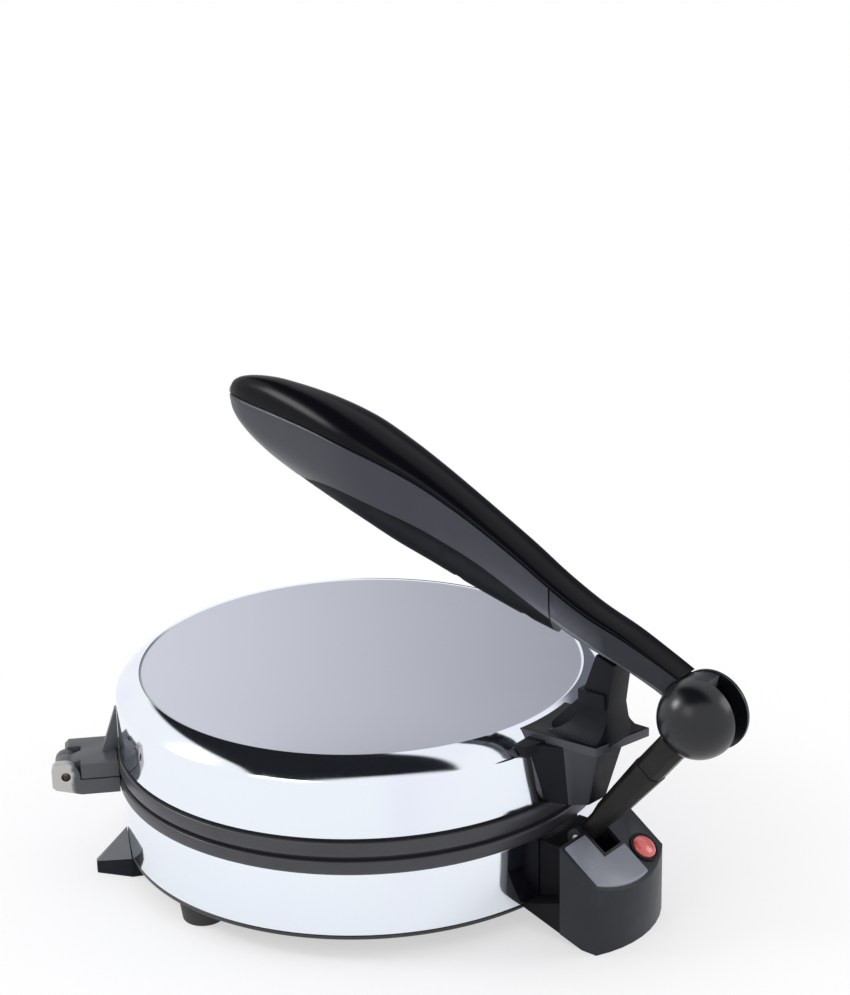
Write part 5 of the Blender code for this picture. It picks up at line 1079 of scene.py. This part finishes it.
# the arm's lower edge is painted paler, as light from the floor
paint_faces(arm, lambda p, n: ARM_EDGE_LEANS[0] < n.z < ARM_EDGE_LEANS[1])


# The caps over the handle's pivot: a satin black ball on the near side and a flat disc on the far side.
# Both are pressed over the ends of the bolt, and the link's eye turns between them.
FAR_CAP = 2.4 * MM
FAR_CAP_ROUND = 1.2 * MM
BALL_STEPS = 128
BALL_ROWS = 33

soft_black = Finish("soft_black", (0.003, 0.004, 0.006), 0.26)
soft_black.set("Roughness", 0.23 + 0.06 * soft_black.noise(120.0, 3.0))
soft_black.tint(soft_black.noise(500.0, 3.0).step(0.62, 0.8) * 0.3, (0.016, 0.016, 0.019))
soft_black.relief(soft_black.noise(40.0, 2.0), 0.04)
cap_side = HUB_HALF + FIT_GAP
quarter = evenly(0, math.pi / 2, BALL_ROWS)
dome = [(BALL_RADIUS * math.sin(a), BALL_RADIUS * math.cos(a)) for a in quarter] + [(0, 0)]
ball = turned("ball_cap_dome", dome, soft_black, pivot_place(-cap_side, math.pi / 2), steps=BALL_STEPS)
fit(ball, "handle", "gloss_black", "ball_cap")
disc = rounded([(0, FAR_CAP), (BALL_RADIUS, FAR_CAP), (BALL_RADIUS, 0), (0, 0)], {1: FAR_CAP_ROUND})
far_cap = turned("far_cap_disc", disc, soft_black, pivot_place(cap_side, -math.pi / 2), steps=BALL_STEPS)
fit(far_cap, "handle", "gloss_black", "far_cap")


# The link from the box to the handle: a sleeve on a pin in the box, and a rod end with the pivot's eye.
# Both are moulded in satin black plastic, and a step shows where the rod end enters the sleeve.
SLEEVE_ROUND = 0.6 * MM
ROD_END_ROUND = 0.5 * MM

link_plastic = moulded("link_plastic", (0.01, 0.009, 0.008), 0.38, (0.018, 0.016, 0.015), 0.03, 0.25)
softened("link_sleeve_moulding", "link_sleeve", "link", "link_plastic", [link_plastic], SLEEVE_ROUND)
softened("link_rod_end", "link_end", "link", "link_plastic", [link_plastic], ROD_END_ROUND)


# The power box, moulded in dark satin plastic and fixed to the side of the base.
# Its top slopes to a round nose. A glossier panel, pale with a painted reflection, covers the near part; the
# box's back and the floor of the link's bay are painted near-black as shade.
BOX_REACH = 167.3 * MM
BOX_CORNER_REACH = 160.0 * MM
BOX_HALF = 27.3 * MM
BOX_BACK = 139.5 * MM
BOX_BACK_HEIGHT = 49.0 * MM
BOX_NOSE_HEIGHT = 28.6 * MM
BOX_ROUND = 1.6 * MM
BOX_ROUND_STEPS = 4
# how far upward the floor of the bay points
BAY_FLOOR_LEAN = 0.99
PANEL_INSET = 1.6 * MM
PANEL_WALL = 0.9 * MM
PANEL_ROUND = 0.6 * MM
PANEL_SPLIT = 7.2 * MM
SLOT_HALF = 7.6 * MM
SLOT_END = 152.0 * MM
SLOT_RIM = 1.6 * MM
NOSE_POINTS = 17
BOX_SLOPE = math.atan2(BOX_BACK_HEIGHT - BOX_NOSE_HEIGHT, BOX_REACH - BOX_BACK)

box_plastic = moulded("box_plastic", (0.014, 0.016, 0.022), 0.4, (0.024, 0.026, 0.034), 0.03, 0.3)
# pale: a painted reflection of the bright surround on the glossy panel
panel_painted_reflection = moulded("panel_painted_reflection", (0.21, 0.22, 0.26), 0.25, (0.25, 0.26, 0.3), 0.015)
# near-black: painted shade for the box's neck and the link's bay
painted_shade_plastic = moulded("painted_shade_plastic", (0.004, 0.004, 0.006), 0.6, (0.008, 0.008, 0.01), 0.04, 0.15)


def box_top(r):
    """The height of the box's sloping top."""
    return BOX_BACK_HEIGHT - math.tan(BOX_SLOPE) * (r - BOX_BACK)


def nose(inset, start, end):
    """The box's round nose in plan, between two distances to the side, drawn in by an inset."""
    bow = BOX_REACH - BOX_CORNER_REACH
    radius = (BOX_HALF ** 2 + bow ** 2) / (2 * bow)
    centre = BOX_REACH - radius
    sides = evenly(start, end, NOSE_POINTS)
    return [(centre + math.sqrt((radius - inset) ** 2 - side ** 2), side) for side in sides]


def in_painted_shade(p, n):
    """Tells the box's back and the floor of its bay, painted near-black as shade, from the rest."""
    return p.length < BOX_BACK - BOX_ROUND or (n.z > BAY_FLOOR_LEAN and p.z < BOX_NOSE_HEIGHT)


names = ("power_box_shell", "power_box", "base", "box_plastic")
box_shell = softened(*names, [box_plastic, painted_shade_plastic], BOX_ROUND, BOX_ROUND_STEPS)
paint_faces(box_shell, in_painted_shade)
side_out = BOX_HALF - PANEL_INSET
back_in = BOX_BACK + PANEL_INSET
panel_plan = [(back_in, -side_out)] + nose(PANEL_INSET, -side_out, PANEL_SPLIT)
slot_side = -SLOT_HALF - SLOT_RIM
panel_plan += [(SLOT_END, PANEL_SPLIT), (SLOT_END, slot_side), (back_in, slot_side)]
panel_loops = []
for height in (-FIT_GAP, PANEL_WALL):
    panel_loops.append([PRESS @ Vector((r, side, box_top(r) + height)) for r, side in panel_plan])
panel = round_edges(skinned("box_top_panel", panel_loops, [panel_painted_reflection]), PANEL_ROUND)
fit(panel, "base", "box_plastic")


# The indicator: a red lens in a black bezel on the sloping top, with a small neon lamp behind it.
# The lens is moulded in clear red plastic with a low dome.
LAMP_REACH = 157.0 * MM
LAMP_SIDE = 15.8 * MM
LAMP_RADIUS = 6.0 * MM
BEZEL_RADIUS = 7.6 * MM
BEZEL_WALL = 1.0 * MM
BEZEL_DEPTH = 5.3 * MM
BEZEL_INNER_ROUND = 0.3 * MM
BEZEL_OUTER_ROUND = 0.7 * MM
LENS_DOME = 2.4 * MM
LENS_SEAT_SHARE = 0.6
LAMP_STEPS = 96

lamp_spot = Matrix.Translation((LAMP_REACH, LAMP_SIDE, box_top(LAMP_REACH)))
lamp_place = PRESS @ lamp_spot @ Matrix.Rotation(BOX_SLOPE, 4, "Y")
bezel_in = LAMP_RADIUS + FIT_GAP
bezel_out = LAMP_RADIUS + BEZEL_WALL
bezel_outline = [(bezel_in, BEZEL_WALL), (BEZEL_RADIUS, BEZEL_WALL), (BEZEL_RADIUS, FIT_GAP)]
bezel_outline += [(bezel_out, FIT_GAP), (bezel_out, -BEZEL_DEPTH), (bezel_in, -BEZEL_DEPTH)]
bezel_outline = rounded(bezel_outline, {0: BEZEL_INNER_ROUND, 1: BEZEL_OUTER_ROUND})
bezel = turned("lamp_bezel_ring", bezel_outline, black, lamp_place, closed=True, steps=LAMP_STEPS)
fit(bezel, "base", "black_plastic", "lamp_bezel")

coat = {"Coat Weight": 0.6, "Coat Roughness": 0.05}
lens_red = Finish("red_lens", (0.66, 0.1, 0.09), 0.16, steady=coat)
lens_red.tint(lens_red.noise(260.0, 2.0).step(0.4, 0.7) * 0.5, (0.8, 0.22, 0.19))
lens_red.relief(lens_red.cells(700.0), 0.05)
lens_seat = BEZEL_WALL * LENS_SEAT_SHARE
lens_outline = [(LAMP_RADIUS * math.sin(a), lens_seat + LENS_DOME * math.cos(a)) for a in quarter]
lens_outline += [(LAMP_RADIUS, -BEZEL_DEPTH / 2), (0, -BEZEL_DEPTH / 2)]
lens = turned("red_lamp_lens", lens_outline, lens_red, lamp_place, steps=LAMP_STEPS)
fit(lens, "base", "red_lens", "indicator_lens")
neon = Finish("lamp_glass", (0.85, 0.55, 0.45), 0.12)
neon.tint(neon.noise(300.0, 2.0), (0.7, 0.35, 0.25))
dress(neon, "neon_lamp")


# The closing cover under the box, and the rubber gland in its far side that the cord runs through.
# The gland is ribbed so that the cord bends gently where it leaves.
RIB_COUNT = 4
RIB_PITCH = 1.9 * MM
RIB_RADIUS = 0.5 * MM
GLAND_REACH = 148.0 * MM
GLAND_HEIGHT = 20.0 * MM
GLAND_RADIUS = 5.0 * MM
GLAND_BORE = 2.6 * MM
GLAND_LENGTH = 9.0 * MM
GLAND_TIP_SHARE = 0.85
GLAND_ROOT_SHARE = 1.2
GLAND_TIP_ROUND = 0.6 * MM
GLAND_ROOT_ROUND = 0.5 * MM
GLAND_STEPS = 64
NECK_STEP = 1.5 * MM
RIB_SEAT_SHARE = 0.97
RIB_POINTS = 10
RIB_STEPS = 48
BOX_WALL = 2.4 * MM

dress(enamel, "box_cover")
gland_spot = Matrix.Translation((GLAND_REACH, BOX_HALF + FIT_GAP, GLAND_HEIGHT))
gland_place = PRESS @ gland_spot @ Matrix.Rotation(-math.pi / 2, 4, "X")
neck = GLAND_RADIUS - NECK_STEP
gland_outline = [(GLAND_BORE, GLAND_LENGTH), (GLAND_RADIUS * GLAND_TIP_SHARE, GLAND_LENGTH)]
gland_outline += [(GLAND_RADIUS * GLAND_ROOT_SHARE, 0), (neck, 0)]
gland_outline += [(neck, -BOX_WALL * 2), (GLAND_BORE, -BOX_WALL * 2)]
gland_outline = rounded(gland_outline, {1: GLAND_TIP_ROUND, 2: GLAND_ROOT_ROUND})
gland = turned("cord_gland_rubber", gland_outline, rubber, gland_place, closed=True, steps=GLAND_STEPS)
fit(gland, "base", "foot_rubber", "cord_gland")
rib_middle = GLAND_RADIUS * RIB_SEAT_SHARE
rib_angles = [2 * math.pi * i / RIB_POINTS for i in range(RIB_POINTS)]
rib_height = RIB_PITCH / 2
rib = [(rib_middle + RIB_RADIUS * math.cos(a), rib_height + RIB_RADIUS * math.sin(a)) for a in rib_angles]
ribs = turned("gland_ribs", rib, rubber, Matrix.Identity(4), closed=True, steps=RIB_STEPS)

# copies of a piece set in a row along its axis
row = Pattern("row_of_pieces", [("Count", "Int", RIB_COUNT), ("Pitch", "Float", RIB_PITCH)])
pitch = row.node("ShaderNodeCombineXYZ", {}, named={"Z": row.given["Pitch"]})
row.copy_onto(row.node("GeometryNodeMeshLine", {}, named={"Count": row.given["Count"], "Offset": pitch}))
row.run(ribs, {"Finish": rubber.material})
ribs.data.transform(gland_place)
fit(ribs, "base", "foot_rubber")


bpy.context.view_layer.update()
